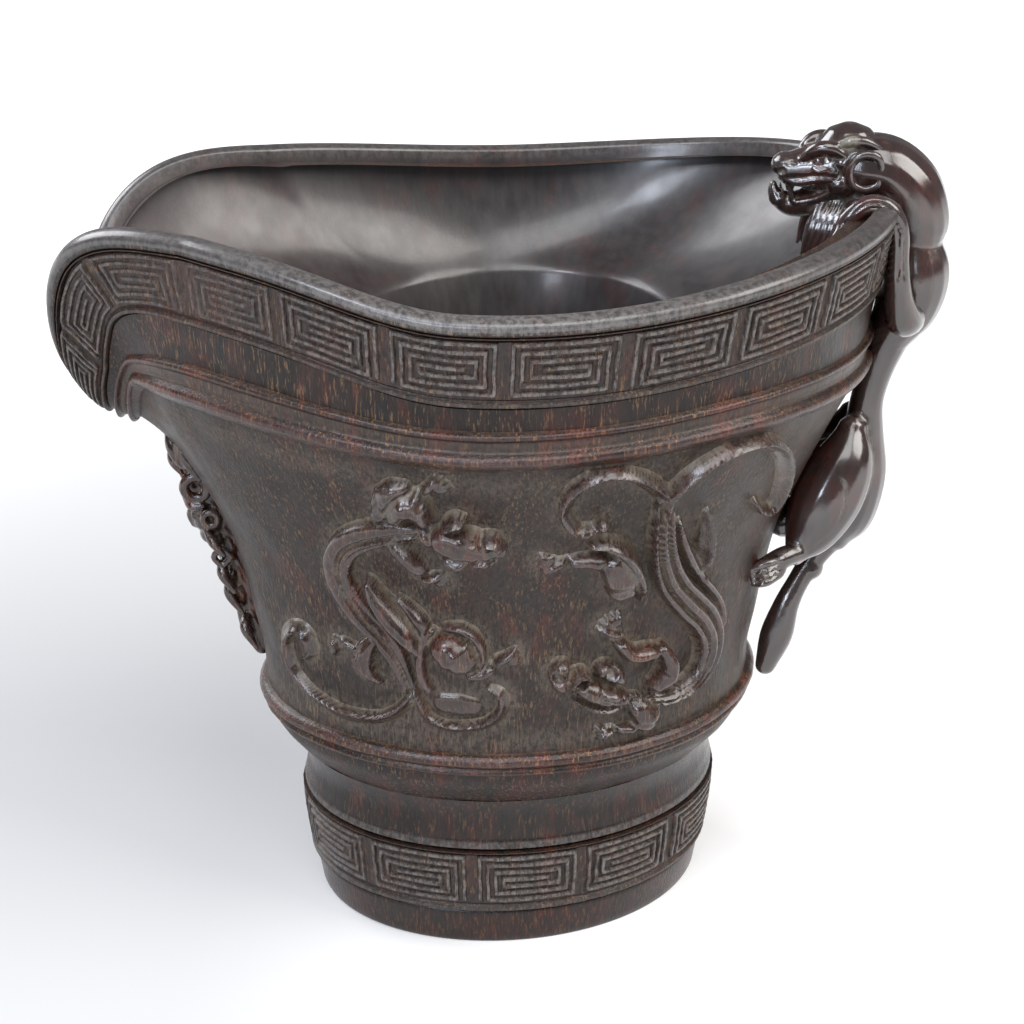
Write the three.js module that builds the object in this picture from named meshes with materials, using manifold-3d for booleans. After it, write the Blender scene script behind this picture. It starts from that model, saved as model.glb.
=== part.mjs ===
// Archaistic libation cup carved from horn: a flared vessel with a channel spout, a foot,
// fret bands, string bands, climbing chilong in relief and a free-standing chilong handle.
import * as THREE from "three";
import Module from "manifold-3d";
import { mergeVertices } from "three/addons/utils/BufferGeometryUtils.js";

const wasm = await Module();
wasm.setup();

// Driving dimensions, in millimetres. X runs from the spout to the handle, Z is up.
const footLength = 68;
const footWidth = 58;
const bodyHeight = 98;
const mouthLength = 130;
const mouthWidth = 101;
const mouthHeight = 120.5;
const spoutRise = 6.4;
const handleRise = 5;
const spoutFloorHeight = 95;
const spoutBulge = 10;
const spoutUndercut = 10;
const cornerRise = 2.4;
const mouthShift = 1;
const bodyShift = 1.5;
const lipThickness = 3.2;
const lipCrown = 0.8;
const cavityFloorHeight = 40;
const cavityTopHeight = 110;
const cavitySpoutDrop = 16;
const cavityTopLength = 72;
const cavityTopWidth = 88;
const footRecessDepth = 2;
const footRimWidth = 6;
const seatGap = 0.3;
const reliefSeat = 0.45;

// Relief sizes, in millimetres.
const fretBandHeight = 11.5;
const fretBandMargin = 1.5;
const fretGroundThickness = 0.6;
const fretSeatGap = 0.5;
const fretEdgeGap = 0.6;
const fretLineHeight = 1.1;
const stringBandProud = 1.5;
const chilongHeight = 2.8;
const chilongWidth = 5.2;
const handleDepth = 12.5;
const handleWidth = 18;
const spoutCarvingDepth = 6.5;
const spoutCarvingWidth = 15;

// Plan form: the share of skew across the width, of egg shape along the length, and of the
// half width that the spout takes, under the rim and at the rim itself.
const skewShare = 0.12;
const eggShare = 0.2;
const spoutShare = 0.4;
const spoutLipShare = 0.72;
const spoutRoundShare = 0.12;
const spoutTurnShare = 0.78;
const spoutWallShare = 0.35;

// The body is this share of the mouth at its top, so the two widen together.
const bodyLengthShare = 0.946;
const bodyWidthShare = 0.96;
const bodyLength = mouthLength * bodyLengthShare;
const bodyWidth = mouthWidth * bodyWidthShare;

// Side profile of the outer wall: height share, then outward share from foot to body top.
const profileShares = [
  [0, 0], [0.07, 0.04], [0.2, 0.085], [0.225, 0.085], [0.255, 0.07], [0.3, 0.12],
  [0.325, 0.2], [0.36, 0.29], [0.4, 0.31], [0.45, 0.31], [0.55, 0.37], [0.7, 0.475],
  [0.8, 0.62], [0.9, 0.8], [1, 1],
];
// Side profile of the cavity: depth share, then width share of the cavity top.
const cavityShares = [[0, 1], [0.13, 0.86], [0.5, 0.72], [0.8, 0.6], [0.94, 0.5], [1, 0.38]];
const footTopShare = 0.3;
const footBandShares = [0.075, 0.195];
const footLevelShares = [0.225, 0.24, 0.255, 0.275, 0.3];
const vesselLevelShares = [0.325, 0.36, 0.4, 0.45, 0.5, 0.55, 0.62, 0.7, 0.8, 0.9, 1, 1.18];
const cavityDepthShares = [0, 0.026, 0.052, 0.078, 0.104, 0.13, 0.2, 0.36, 0.56, 0.76, 0.92, 1];
const lowerBandShares = [0.376, 0.415];
const upperBandShares = [0.985, 1.25];
const fretLowestShare = 1.36;
const mouthDepthShare = 0.13;

// Counts.
const limbSides = 8;
const bossSides = 9;
const measureCount = 720;
const rimFretCount = 22;
const footFretCount = 11;

const degree = Math.PI / 180;
const spoutDegrees = 180;
const horn = { roughness: 0.38, metalness: 0 };

function smooth(t) {
  const u = Math.min(1, Math.max(0, t));
  return u * u * (3 - 2 * u);
}

// A smooth curve through a table of shares that never overshoots its points.
function alongTable(table, x) {
  const last = table.length - 2;
  let i = 0;
  while (i < last && x > table[i + 1][0]) i += 1;
  const slope = (k) => (table[k + 1][1] - table[k][1]) / (table[k + 1][0] - table[k][0]);
  const tangent = (k) => {
    if (k === 0) return slope(0);
    if (k > last) return slope(last);
    const before = slope(k - 1);
    const after = slope(k);
    return before * after <= 0 ? 0 : (2 * before * after) / (before + after);
  };
  const [x0, y0] = table[i];
  const [x1, y1] = table[i + 1];
  const span = x1 - x0;
  const t = Math.min(1, Math.max(0, (x - x0) / span));
  return (
    y0 * (1 + 2 * t) * (1 - t) ** 2 + span * tangent(i) * t * (1 - t) ** 2 +
    y1 * t * t * (3 - 2 * t) + span * tangent(i + 1) * t * t * (t - 1)
  );
}

// How far a direction lies inside the spout channel: 1 on its middle line, 0 outside it.
function inSpout(angle, power) {
  if (Math.cos(angle) >= 0) return 0;
  return Math.max(0, 1 - (Math.sin(angle) / spoutShare) ** 2) ** power;
}

function bodyTopPoint(angle) {
  const c = Math.cos(angle);
  const s = Math.sin(angle);
  return new THREE.Vector3(
    -bodyShift + (bodyLength / 2) * c,
    (bodyWidth / 2) * s * (1 + eggShare * c),
    bodyHeight + cornerRise * (2 * c * s) ** 2 - spoutUndercut * inSpout(angle, 2),
  );
}

function rimPoint(angle) {
  const c = Math.cos(angle);
  const s = Math.sin(angle);
  const fall = s < 0 ? 14 : 4.4;
  const rise = c < 0 ? spoutRise * (1 - Math.abs(s) ** fall) : handleRise * (1 - Math.abs(s) ** 3.2);
  const level = mouthHeight + rise;
  const rounded = (side) => Math.hypot(side, spoutRoundShare) - spoutRoundShare;
  const inward = c < 0 ? Math.max(0, 1 - rounded(s) / rounded(spoutLipShare)) : 0;
  const bulge = spoutBulge * Math.sin(Math.PI * spoutTurnShare * inward ** 0.9);
  const channel = c < 0 ? Math.max(0, 1 - (Math.abs(s) / spoutLipShare) ** 1.8) ** 3 : 0;
  return new THREE.Vector3(
    -mouthShift + (mouthLength / 2) * c - bulge,
    (mouthWidth / 2) * s * (1 + eggShare * c),
    THREE.MathUtils.lerp(level, spoutFloorHeight, channel),
  );
}

// The outer wall. Level 0 is the foot, 1 the top of the body and 2 the rim.
function wallPoint(angle, level) {
  const c = Math.cos(angle);
  const s = Math.sin(angle);
  let point;
  if (level <= 1) {
    const out = alongTable(profileShares, Math.max(0, level));
    const corner = cornerRise * (2 * c * s) ** 2 - spoutUndercut * inSpout(angle, 2);
    point = new THREE.Vector3(
      -bodyShift * out * out + THREE.MathUtils.lerp(footLength / 2, bodyLength / 2, out) * c,
      THREE.MathUtils.lerp(footWidth / 2, bodyWidth / 2, out) * s * (1 + eggShare * c * out),
      level * bodyHeight + corner * level ** 6,
    );
  } else {
    const low = bodyTopPoint(angle);
    const high = rimPoint(angle);
    const spout = inSpout(angle, 1.5);
    const middle = low.clone().lerp(high, 0.25 + 0.45 * spout);
    middle.z = THREE.MathUtils.lerp((low.z + high.z) / 2, low.z, spout);
    const t = Math.min(1, level - 1);
    point = low.multiplyScalar((1 - t) ** 2);
    point.addScaledVector(middle, 2 * t * (1 - t)).addScaledVector(high, t * t);
  }
  point.x += skewShare * point.y;
  return point;
}

// The wall with its outward normal and its two directions, around and up.
function wallFrame(angle, level) {
  const nearShare = 0.004;
  const low = Math.min(level, 2 - nearShare);
  const under = Math.max(0, low - nearShare);
  const around = wallPoint(angle + nearShare, level).sub(wallPoint(angle - nearShare, level));
  const up = wallPoint(angle, low + nearShare).sub(wallPoint(angle, under));
  around.divideScalar(2 * nearShare);
  up.divideScalar(low - under + nearShare);
  const normal = around.clone().cross(up).normalize();
  return { point: wallPoint(angle, level), normal, around, up };
}

function liftedPoint(angle, level, lift) {
  const frame = wallFrame(angle, level);
  return frame.point.addScaledVector(frame.normal, lift);
}

// The point reached from (angle, level) by moving along the wall by a sideways and an upward
// distance, lifted off the wall.
function movedPoint(angle, level, sideways, upward, lift) {
  const { around, up } = wallFrame(angle, level);
  const turned = angle + sideways / around.length();
  const raised = level + upward / up.length();
  return liftedPoint(turned, raised, lift);
}

// Cavity of the vessel, from the inner edge of the rim (0) to the cavity floor (1).
function cavityPoint(angle, depth, growth) {
  const c = Math.cos(angle);
  const s = Math.sin(angle);
  const width = alongTable(cavityShares, depth);
  const top = cavityTopHeight - cavitySpoutDrop * inSpout(angle, 1);
  const well = new THREE.Vector3(
    -bodyShift + ((cavityTopLength / 2) * width - growth) * c,
    ((cavityTopWidth / 2) * width - growth) * s,
    THREE.MathUtils.lerp(top, cavityFloorHeight + growth, depth),
  );
  well.x += skewShare * well.y;
  const level = Math.max(1, 2 - depth / mouthDepthShare);
  const thickness = lipThickness * (1 + spoutWallShare * inSpout(angle, 1));
  const lip = liftedPoint(angle, level, -thickness - growth);
  return lip.lerp(well, smooth(depth / mouthDepthShare));
}

function solidOf(points, faces) {
  const geometry = new THREE.BufferGeometry();
  geometry.setAttribute("position", new THREE.Float32BufferAttribute(points.flat(), 3));
  geometry.setIndex(faces.flat());
  let volume = 0;
  const corner = (k) => new THREE.Vector3(...points[k]);
  for (const [a, b, c] of faces) volume += corner(a).dot(corner(b).cross(corner(c)));
  if (volume < 0) geometry.setIndex(faces.map(([a, b, c]) => [a, c, b]).flat());
  return geometry;
}

// Skins a list of rings with equal counts. Closed rings join the last ring to the first, open
// ones are capped at both ends.
function skin(rings, closed) {
  const count = rings[0].length;
  const points = rings.flat().map((p) => p.toArray());
  const faces = [];
  const joins = closed ? rings.length : rings.length - 1;
  for (let r = 0; r < joins; r += 1) {
    const next = (r + 1) % rings.length;
    for (let k = 0; k < count; k += 1) {
      const a = r * count + k;
      const b = r * count + ((k + 1) % count);
      const c = next * count + k;
      const d = next * count + ((k + 1) % count);
      faces.push([a, b, d], [a, d, c]);
    }
  }
  if (!closed) {
    for (const [ring, flip] of [[0, true], [rings.length - 1, false]]) {
      const middle = new THREE.Vector3();
      rings[ring].forEach((p) => middle.add(p));
      points.push(middle.divideScalar(count).toArray());
      const hub = points.length - 1;
      for (let k = 0; k < count; k += 1) {
        const a = ring * count + k;
        const b = ring * count + ((k + 1) % count);
        faces.push(flip ? [hub, b, a] : [hub, a, b]);
      }
    }
  }
  return solidOf(points, faces);
}

function toManifold(geometry) {
  const bare = geometry.clone();
  bare.deleteAttribute("normal");
  bare.deleteAttribute("uv");
  const merged = mergeVertices(bare, 1e-5);
  return new wasm.Manifold(
    new wasm.Mesh({
      numProp: 3,
      vertProperties: new Float32Array(merged.attributes.position.array),
      triVerts: new Uint32Array(merged.index.array),
    }),
  );
}

function toGeometry(manifold) {
  const { vertProperties, triVerts } = manifold.getMesh();
  const geometry = new THREE.BufferGeometry();
  geometry.setAttribute("position", new THREE.BufferAttribute(vertProperties, 3));
  geometry.setIndex(new THREE.BufferAttribute(triVerts, 1));
  return geometry;
}

function joined(geometries) {
  return geometries.map(toManifold).reduce((whole, piece) => whole.add(piece));
}

// The largest body that is left after the cutters are taken away.
function trimmed(whole, cutters) {
  const cut = cutters.reduce((rest, cutter) => rest.subtract(cutter), whole);
  const bodies = cut.decompose();
  return bodies.reduce((best, body) => (body.volume() > best.volume() ? body : best));
}

// A raised ridge that follows a route of [degrees, level] on the wall. Widths are shares of
// the given width along the route, and the crown is as high as its own share of the height.
function ridge(route, widthShares, width, height, mirror = 1) {
  const curve = new THREE.CatmullRomCurve3(
    route.map(([turn, level]) => new THREE.Vector3(turn * mirror * degree, level, 0)),
    false, "centripetal",
  );
  const steps = Math.max(4, Math.round(route.length * 1.25));
  const rings = [];
  for (let i = 0; i <= steps; i += 1) {
    const t = i / steps;
    const at = curve.getPoint(t);
    const along = curve.getTangent(t);
    const { around, up } = wallFrame(at.x, at.y);
    const run = new THREE.Vector2(along.x * around.length(), along.y * up.length());
    run.normalize();
    const place = t * (widthShares.length - 1);
    const k = Math.min(widthShares.length - 2, Math.floor(place));
    const share = THREE.MathUtils.lerp(widthShares[k], widthShares[k + 1], place - k);
    const end = Math.min(t, 1 - t) * steps < 0.5 ? 0.45 : 1;
    const half = (width / 2) * share * end;
    const ring = [];
    for (const turn of [0, 60, 120, 180]) {
      const side = half * Math.cos(turn * degree);
      const crown = height * Math.min(1, 0.45 + 0.55 * share) * end * Math.sin(turn * degree);
      ring.push(movedPoint(at.x, at.y, -run.y * side, run.x * side, reliefSeat + crown));
    }
    ring.push(movedPoint(at.x, at.y, 0, 0, reliefSeat));
    rings.push(ring);
  }
  return skin(rings, false);
}

// A rounded boss on the wall, longer one way than the other.
function boss(turn, level, long, short, tilt, height, mirror = 1) {
  const rings = [1, 0.72, 0.36].map((reach) => {
    const crown = reliefSeat + height * Math.sqrt(1 - reach * reach);
    return Array.from({ length: bossSides }, (_, k) => {
      const swing = (k / bossSides) * 2 * Math.PI;
      const x = long * reach * Math.cos(swing);
      const y = short * reach * Math.sin(swing);
      const lean = tilt * degree;
      const sideways = (x * Math.cos(lean) - y * Math.sin(lean)) * mirror;
      const upward = x * Math.sin(lean) + y * Math.cos(lean);
      return movedPoint(turn * mirror * degree, level, sideways, upward, crown);
    });
  });
  return skin(rings, false);
}

const bosses = (table, mirror) => table.map(([turn, level, long, short, tilt, height]) =>
  boss(turn, level, chilongWidth * long, chilongWidth * short, tilt, chilongHeight * height,
    mirror));

// The level that lies a given distance below the rim, measured along the wall.
function levelBelowRim(angle, distance) {
  const rungShare = 0.02;
  let left = distance;
  let last = wallPoint(angle, 2);
  for (let level = 2 - rungShare; level > 1; level -= rungShare) {
    const next = wallPoint(angle, level);
    const length = next.distanceTo(last);
    if (length >= left) return level + rungShare * (1 - left / length);
    left -= length;
    last = next;
  }
  return 1;
}

// Directions that divide a band into cells of equal length.
function cellEdges(count, level) {
  const lengths = [0];
  const turn = (i) => (i / measureCount) * 2 * Math.PI;
  const at = (i) => wallPoint(turn(i), level(turn(i)));
  for (let i = 1; i <= measureCount; i += 1) {
    lengths.push(lengths[i - 1] + at(i).distanceTo(at(i - 1)));
  }
  const edges = [];
  let i = 0;
  for (let cell = 0; cell <= count; cell += 1) {
    const target = (cell / count) * lengths[measureCount];
    while (i < measureCount - 1 && lengths[i + 1] < target) i += 1;
    const part = (target - lengths[i]) / (lengths[i + 1] - lengths[i]);
    edges.push(turn(i + part));
  }
  return edges;
}

// Where the two fret bands lie. The cup's own columns stand at the cell edges and thirds, so
// that band and wall run side by side.
const rimDepth = fretBandHeight + fretBandMargin;
const thirdShares = [0, 1 / 3, 2 / 3];
const neckLength = (angle) => wallPoint(angle, 1).distanceTo(wallPoint(angle, 2));
const rimLow = (angle) => Math.max(fretLowestShare, levelBelowRim(angle, rimDepth));
const rimHigh = (angle) => 2 - (2 - rimLow(angle)) * (fretBandMargin / rimDepth);
const footLow = () => footBandShares[0];
const footHigh = () => footBandShares[1];
const thirds = (edges) => edges.slice(1).flatMap((end, i) =>
  thirdShares.map((share) => THREE.MathUtils.lerp(edges[i], end, share)));
const rimEdges = cellEdges(rimFretCount, (angle) => (rimLow(angle) + rimHigh(angle)) / 2);
const footEdges = cellEdges(footFretCount, footLow);
const rimAngles = thirds(rimEdges);
const footAngles = thirds(footEdges);

// A band around the wall between two level functions, standing off the wall.
function wallBand(lowLevel, highLevel, profile) {
  const rings = rimAngles.map((angle) => {
    const low = lowLevel(angle);
    const high = highLevel(angle);
    return profile.map(([share, lift]) =>
      liftedPoint(angle, THREE.MathUtils.lerp(low, high, share), lift));
  });
  return skin(rings, true);
}

// Outline of the groove that leaves one squared spiral standing, as shares of its cell.
const fretGrooveShares = [
  [0, 0], [1, 0], [1, 1], [0, 1], [0, 0.225], [0.77, 0.225], [0.77, 0.775], [0.25, 0.775],
  [0.25, 0.475], [0.51, 0.475], [0.51, 0.62], [0.61, 0.62], [0.61, 0.365], [0.15, 0.365],
  [0.15, 0.885], [0.87, 0.885], [0.87, 0.115], [0, 0.115],
];
const fretCellShares = [
  [0, 0], [1 / 3, 0], [2 / 3, 0], [1, 0], [1, 1], [2 / 3, 1], [1 / 3, 1], [0, 1],
];
const fretGrooveBoxShares = [[0.175, 0.955], [0.09, 0.91]];
const nudgeShare = 0.004;
const fretCellRatio = 1.6;

// The outline as flat points. A point on a straight edge is nudged into the face, which lies
// inside a border and outside a hole, so that no face folds along that edge.
function nudged(outline, side) {
  return outline.map(([x, y], k) => {
    const [fromX, fromY] = outline.at(k - 1);
    const [toX, toY] = outline[(k + 1) % outline.length];
    const bend = (toX - fromX) * (y - fromY) - (toY - fromY) * (x - fromX);
    if (Math.abs(bend) > 1e-9) return new THREE.Vector2(x, y);
    const reach = (nudgeShare * side) / Math.hypot(toX - fromX, toY - fromY);
    return new THREE.Vector2(x - (toY - fromY) * reach, y + (toX - fromX) * reach);
  });
}

// The outline with a point wherever one of its edges crosses a third of the cell.
function splitAtThirds(outline) {
  return outline.flatMap(([x, y], k) => {
    const [nextX, nextY] = outline[(k + 1) % outline.length];
    const crossed = thirdShares.slice(1).filter((third) => (x - third) * (nextX - third) < 0);
    const between = crossed.map((third) => {
      const part = (third - x) / (nextX - x);
      return [third, THREE.MathUtils.lerp(y, nextY, part)];
    });
    if (x > nextX) between.reverse();
    return [[x, y], ...between];
  });
}
const limbEndShare = 0.5;
const fretGapShares = [[0.035, 0.12], [0.095, 0.12], [0.095, 0.88], [0.035, 0.88]];

// The same faces with their inner edges turned wherever the other diagonal is shorter, so that
// no face reaches far across the curve of the wall.
function relaxed(faces, plan) {
  const side = (a, b, c) => Math.sign(
    (plan[b].x - plan[a].x) * (plan[c].y - plan[a].y) -
    (plan[b].y - plan[a].y) * (plan[c].x - plan[a].x));
  const long = (a, b) => Math.hypot((plan[a].x - plan[b].x) * fretCellRatio, plan[a].y - plan[b].y);
  for (let turned = true; turned;) {
    turned = false;
    const owners = new Map();
    faces.forEach((face, at) => face.forEach((a, k) =>
      owners.set(a * plan.length + face[(k + 1) % 3], [at, face[(k + 2) % 3]])));
    for (const [edge, [here, top]] of owners) {
      const a = Math.floor(edge / plan.length);
      const b = edge % plan.length;
      const [there, low] = owners.get(b * plan.length + a) ?? [-1, a];
      const way = side(a, b, top);
      const shorter = there >= 0 && long(low, top) < long(a, b) * 0.999;
      if (shorter && side(low, b, top) === way && side(top, a, low) === way) {
        faces[here] = [low, b, top];
        faces[there] = [top, a, low];
        turned = true;
        break;
      }
    }
  }
  return faces;
}

// A key-fret band: a border line above and below, paired bars, and a squared spiral in every
// cell, mirrored from cell to cell. The grooves stop at a thin ground.
function fretBand(edges, low, high) {
  const count = edges.length - 1;
  const points = [];
  const faces = [];
  const [[left, right], [bottom, top]] = fretGrooveBoxShares;
  const area = ([a, b, c]) => b.clone().sub(a).cross(c.clone().sub(a));
  for (let i = 0; i < count; i += 1) {
    // A point between two of the cup's columns, in line with its flat face there.
    const onColumn = (third, up, lift) => {
      const angle = THREE.MathUtils.lerp(edges[i], edges[i + 1], third / 3);
      const turn = i === count - 1 && third === 3 ? edges[0] : angle;
      return liftedPoint(turn, THREE.MathUtils.lerp(low(turn), high(turn), up), lift);
    };
    const put = ([along, up], lift) => {
      const third = Math.min(2, Math.floor(along * 3 + 1e-9));
      const point = onColumn(third, up, lift);
      point.lerp(onColumn(third + 1, up, lift), along * 3 - third);
      return points.push(point.toArray()) - 1;
    };
    const wall = (from, to, upper, lower) => {
      const corners = [put(from, upper), put(to, upper), put(to, lower), put(from, lower)];
      faces.push([corners[0], corners[1], corners[2]], [corners[0], corners[2], corners[3]]);
    };
    const flat = (contour, holes, lift, outward) => {
      const all = [contour, ...holes].flat();
      const border = nudged(contour, 1);
      const openings = holes.map((hole) => nudged(hole, -1));
      const plan = [border, ...openings].flat();
      for (const face of relaxed(THREE.ShapeUtils.triangulateShape(border, openings), plan)) {
        const [a, b, c] = face.map((k) => put(all[k], lift));
        const turned = area(face.map((k) => plan[k])) > 0 === outward;
        faces.push(turned ? [a, b, c] : [a, c, b]);
      }
    };
    const mirrored = i % 2 === 1;
    const groove = fretGrooveShares.map(([x, y]) => [
      THREE.MathUtils.lerp(left, right, mirrored ? 1 - x : x),
      THREE.MathUtils.lerp(bottom, top, y),
    ]);
    if (mirrored) groove.reverse();
    const outline = splitAtThirds(groove);
    flat(fretCellShares, [outline, fretGapShares], fretLineHeight, true);
    for (const k of [0, 1, 2]) {
      const corners = [k, k + 1, 6 - k, 7 - k].map((at) => fretCellShares[at]);
      const [a, b, c, d] = corners.map((corner) => put(corner, -fretGroundThickness));
      faces.push([a, c, b], [a, d, c]);
    }
    for (const hole of [outline, fretGapShares]) {
      flat(hole, [], 0, true);
      hole.forEach((from, k) => wall(from, hole[(k + 1) % hole.length], fretLineHeight, 0));
    }
    for (const k of [0, 1, 2, 4, 5, 6]) {
      wall(fretCellShares[k], fretCellShares[k + 1], -fretGroundThickness, fretLineHeight);
    }
  }
  return toManifold(solidOf(points, faces));
}

// The vessel: outer wall with the seat of the rim fret, rounded lip and cavity. Growth makes
// the fitting clearance.
function vesselSolid(growth) {
  const seat = growth - fretGroundThickness - fretSeatGap;
  const below = (angle) => rimLow(angle) - fretEdgeGap / neckLength(angle);
  const above = (angle) => rimHigh(angle) + fretEdgeGap / neckLength(angle);
  const bodyLevels = [footTopShare + seatGap / bodyHeight, ...vesselLevelShares];
  const rows = [
    ...bodyLevels.map((level) => [() => level, growth]),
    [below, growth], [below, seat], [above, seat], [above, growth], [() => 2, growth],
  ];
  const outer = rows.map(([level, lift]) =>
    rimAngles.map((angle) => liftedPoint(angle, level(angle), lift)));
  const crown = rimAngles.map((angle) => {
    const point = liftedPoint(angle, 2, growth).lerp(cavityPoint(angle, 0, growth), 0.5);
    return point.add(new THREE.Vector3(0, 0, lipCrown + growth));
  });
  const inner = cavityDepthShares.map((depth) =>
    rimAngles.map((angle) => cavityPoint(angle, depth, growth)));
  return toManifold(skin([...outer, crown, ...inner], false));
}

function footSolid(growth) {
  const seat = -fretGroundThickness - fretSeatGap;
  const reach = (2 * seatGap) / bodyHeight;
  const ring = (level, lift) => footAngles.map((angle) => liftedPoint(angle, level, growth + lift));
  const flat = (inset, height) => ring(0, -inset).map((point) => point.setZ(height));
  return toManifold(skin([
    flat(footRimWidth + footRecessDepth, footRecessDepth), flat(footRimWidth, 0), flat(0, 0),
    ring(footLow() - reach, 0), ring(footLow() - reach, seat), ring(footHigh() + reach, seat),
    ring(footHigh() + reach, 0), ...footLevelShares.map((level) => ring(level, 0)),
  ], false));
}

function stringBand([low, high], profile) {
  const lifts = profile.map(([share, lift]) => [share, seatGap + stringBandProud * lift]);
  return toManifold(wallBand(() => low, () => high, lifts));
}

// Relief chilong by the spout: an S-shaped body with a forked scrolling tail.
const spoutChilongShares = {
  spine: [[-94, 0.862], [-101, 0.858], [-109, 0.843], [-115, 0.805], [-118.5, 0.75],
    [-116.5, 0.69], [-112.5, 0.63], [-108, 0.57], [-105.5, 0.522]],
  torso: [[-116, 0.76], [-109.5, 0.7], [-104.5, 0.66], [-100.5, 0.63], [-96, 0.612]],
  raisedLeg: [[-106, 0.848], [-102.5, 0.893], [-99, 0.93], [-95.5, 0.95], [-92, 0.955]],
  arm: [[-115, 0.785], [-105, 0.8], [-100, 0.795], [-97.5, 0.78], [-94, 0.766]],
  hindLeg: [[-98, 0.615], [-91, 0.606], [-86, 0.62], [-82, 0.616]],
  innerLeg: [[-107, 0.6], [-112, 0.552], [-116.5, 0.555], [-117, 0.598]],
  longTail: [[-105.5, 0.53], [-108, 0.478], [-117, 0.453], [-126, 0.449], [-135, 0.46],
    [-141.5, 0.5], [-141, 0.56], [-136.5, 0.607], [-131, 0.603], [-130.5, 0.572]],
  shortTail: [[-105, 0.525], [-102, 0.486], [-97.5, 0.466], [-91.5, 0.464], [-86, 0.482],
    [-84, 0.516], [-87, 0.54]],
};

// Haunch, head and muzzle: direction, level, half length and half width as shares of the
// chilong's width, tilt, and height as a share of the chilong's height.
const spoutChilongBossShares = [
  [-97, 0.61, 0.8, 0.66, 0, 1.5], [-90, 0.862, 0.9, 0.62, -20, 1.3],
  [-85.8, 0.848, 0.55, 0.45, 0, 1],
];

function spoutChilong(mirror) {
  const r = spoutChilongShares;
  const w = chilongWidth;
  const h = chilongHeight;
  return joined([
    ridge(r.spine, [0.7, 0.9, 1.3, 1.3, 1.2, 0.9], w, h, mirror),
    ridge(r.torso, [0.8, 1.1, 1.2, 1.2], w, h * 1.35, mirror),
    ridge(r.raisedLeg, [1.5, 1.1, 0.7, 0.7], w, h, mirror),
    ridge(r.arm, [0.9, 0.8, 0.8, 0.6], w, h * 0.8, mirror),
    ridge(r.hindLeg, [1, 0.6, 0.7, 0.5], w, h * 0.7, mirror),
    ridge(r.innerLeg, [0.8, 0.8, 0.6], w, h * 0.7, mirror),
    ridge(r.longTail, [1, 0.75, 0.6, 0.55, 0.5, 0.5], w, h * 0.8, mirror),
    ridge(r.shortTail, [1, 0.7, 0.55, 0.5], w, h * 0.8, mirror),
    ...bosses(spoutChilongBossShares, mirror),
  ]);
}

// Relief chilong by the handle: it climbs down, with a twin-volute tail above it.
const handleChilongShares = {
  trunk: [[-58, 0.9], [-56.5, 0.84], [-52.5, 0.768], [-46.5, 0.7], [-40, 0.64], [-36.5, 0.58],
    [-37.5, 0.53], [-43, 0.507], [-50, 0.503], [-57, 0.515]],
  nearVolute: [[-58, 0.9], [-62, 0.942], [-67, 0.955], [-72, 0.945], [-74.5, 0.915],
    [-73.5, 0.886], [-70, 0.876], [-68, 0.888]],
  farVolute: [[-58, 0.9], [-54.5, 0.935], [-49, 0.953], [-42, 0.955], [-35, 0.925],
    [-30.5, 0.878], [-29, 0.835], [-33, 0.815], [-36.5, 0.835], [-36.5, 0.86]],
  leaf: [[-45.5, 0.71], [-44, 0.75], [-44.5, 0.795], [-47.5, 0.838]],
  upperLeg: [[-54, 0.71], [-60.5, 0.742], [-65, 0.785], [-69, 0.812], [-74, 0.814],
    [-78, 0.806]],
  foreleg: [[-46, 0.52], [-49.5, 0.572], [-54.5, 0.608], [-60, 0.632], [-63.5, 0.662]],
  neck: [[-52, 0.508], [-60, 0.535], [-66, 0.563], [-71, 0.566]],
  lowerLeg: [[-49, 0.5], [-50, 0.462], [-55, 0.452], [-60, 0.45], [-63.5, 0.445]],
};

// Head and shoulder, in the same terms.
const handleChilongBossShares = [
  [-71.5, 0.566, 0.75, 0.6, 20, 1.25], [-64, 0.556, 0.6, 0.6, 0, 1.3],
];

function handleChilong(mirror) {
  const r = handleChilongShares;
  const w = chilongWidth;
  const h = chilongHeight;
  return joined([
    ridge(r.trunk, [0.7, 1.0, 1.7, 1.9, 1.6, 1.1, 0.9], w, h * 0.9, mirror),
    ridge(r.nearVolute, [0.8, 0.7, 0.6, 0.6, 0.7], w, h * 0.9, mirror),
    ridge(r.farVolute, [0.8, 0.7, 0.75, 0.8, 0.6, 0.5], w, h * 0.8, mirror),
    ridge(r.leaf, [0.6, 0.9, 0.9, 0.5], w, h * 0.8, mirror),
    ridge(r.upperLeg, [1.2, 1.3, 1.0, 0.6, 0.8, 0.5], w, h, mirror),
    ridge(r.foreleg, [1, 1.1, 0.7, 0.8], w, h, mirror),
    ridge(r.neck, [0.8, 0.9, 1.1, 0.9], w, h, mirror),
    ridge(r.lowerLeg, [0.8, 1.1, 0.7, 0.5], w, h * 0.8, mirror),
    ...bosses(handleChilongBossShares, mirror),
  ]);
}

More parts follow.
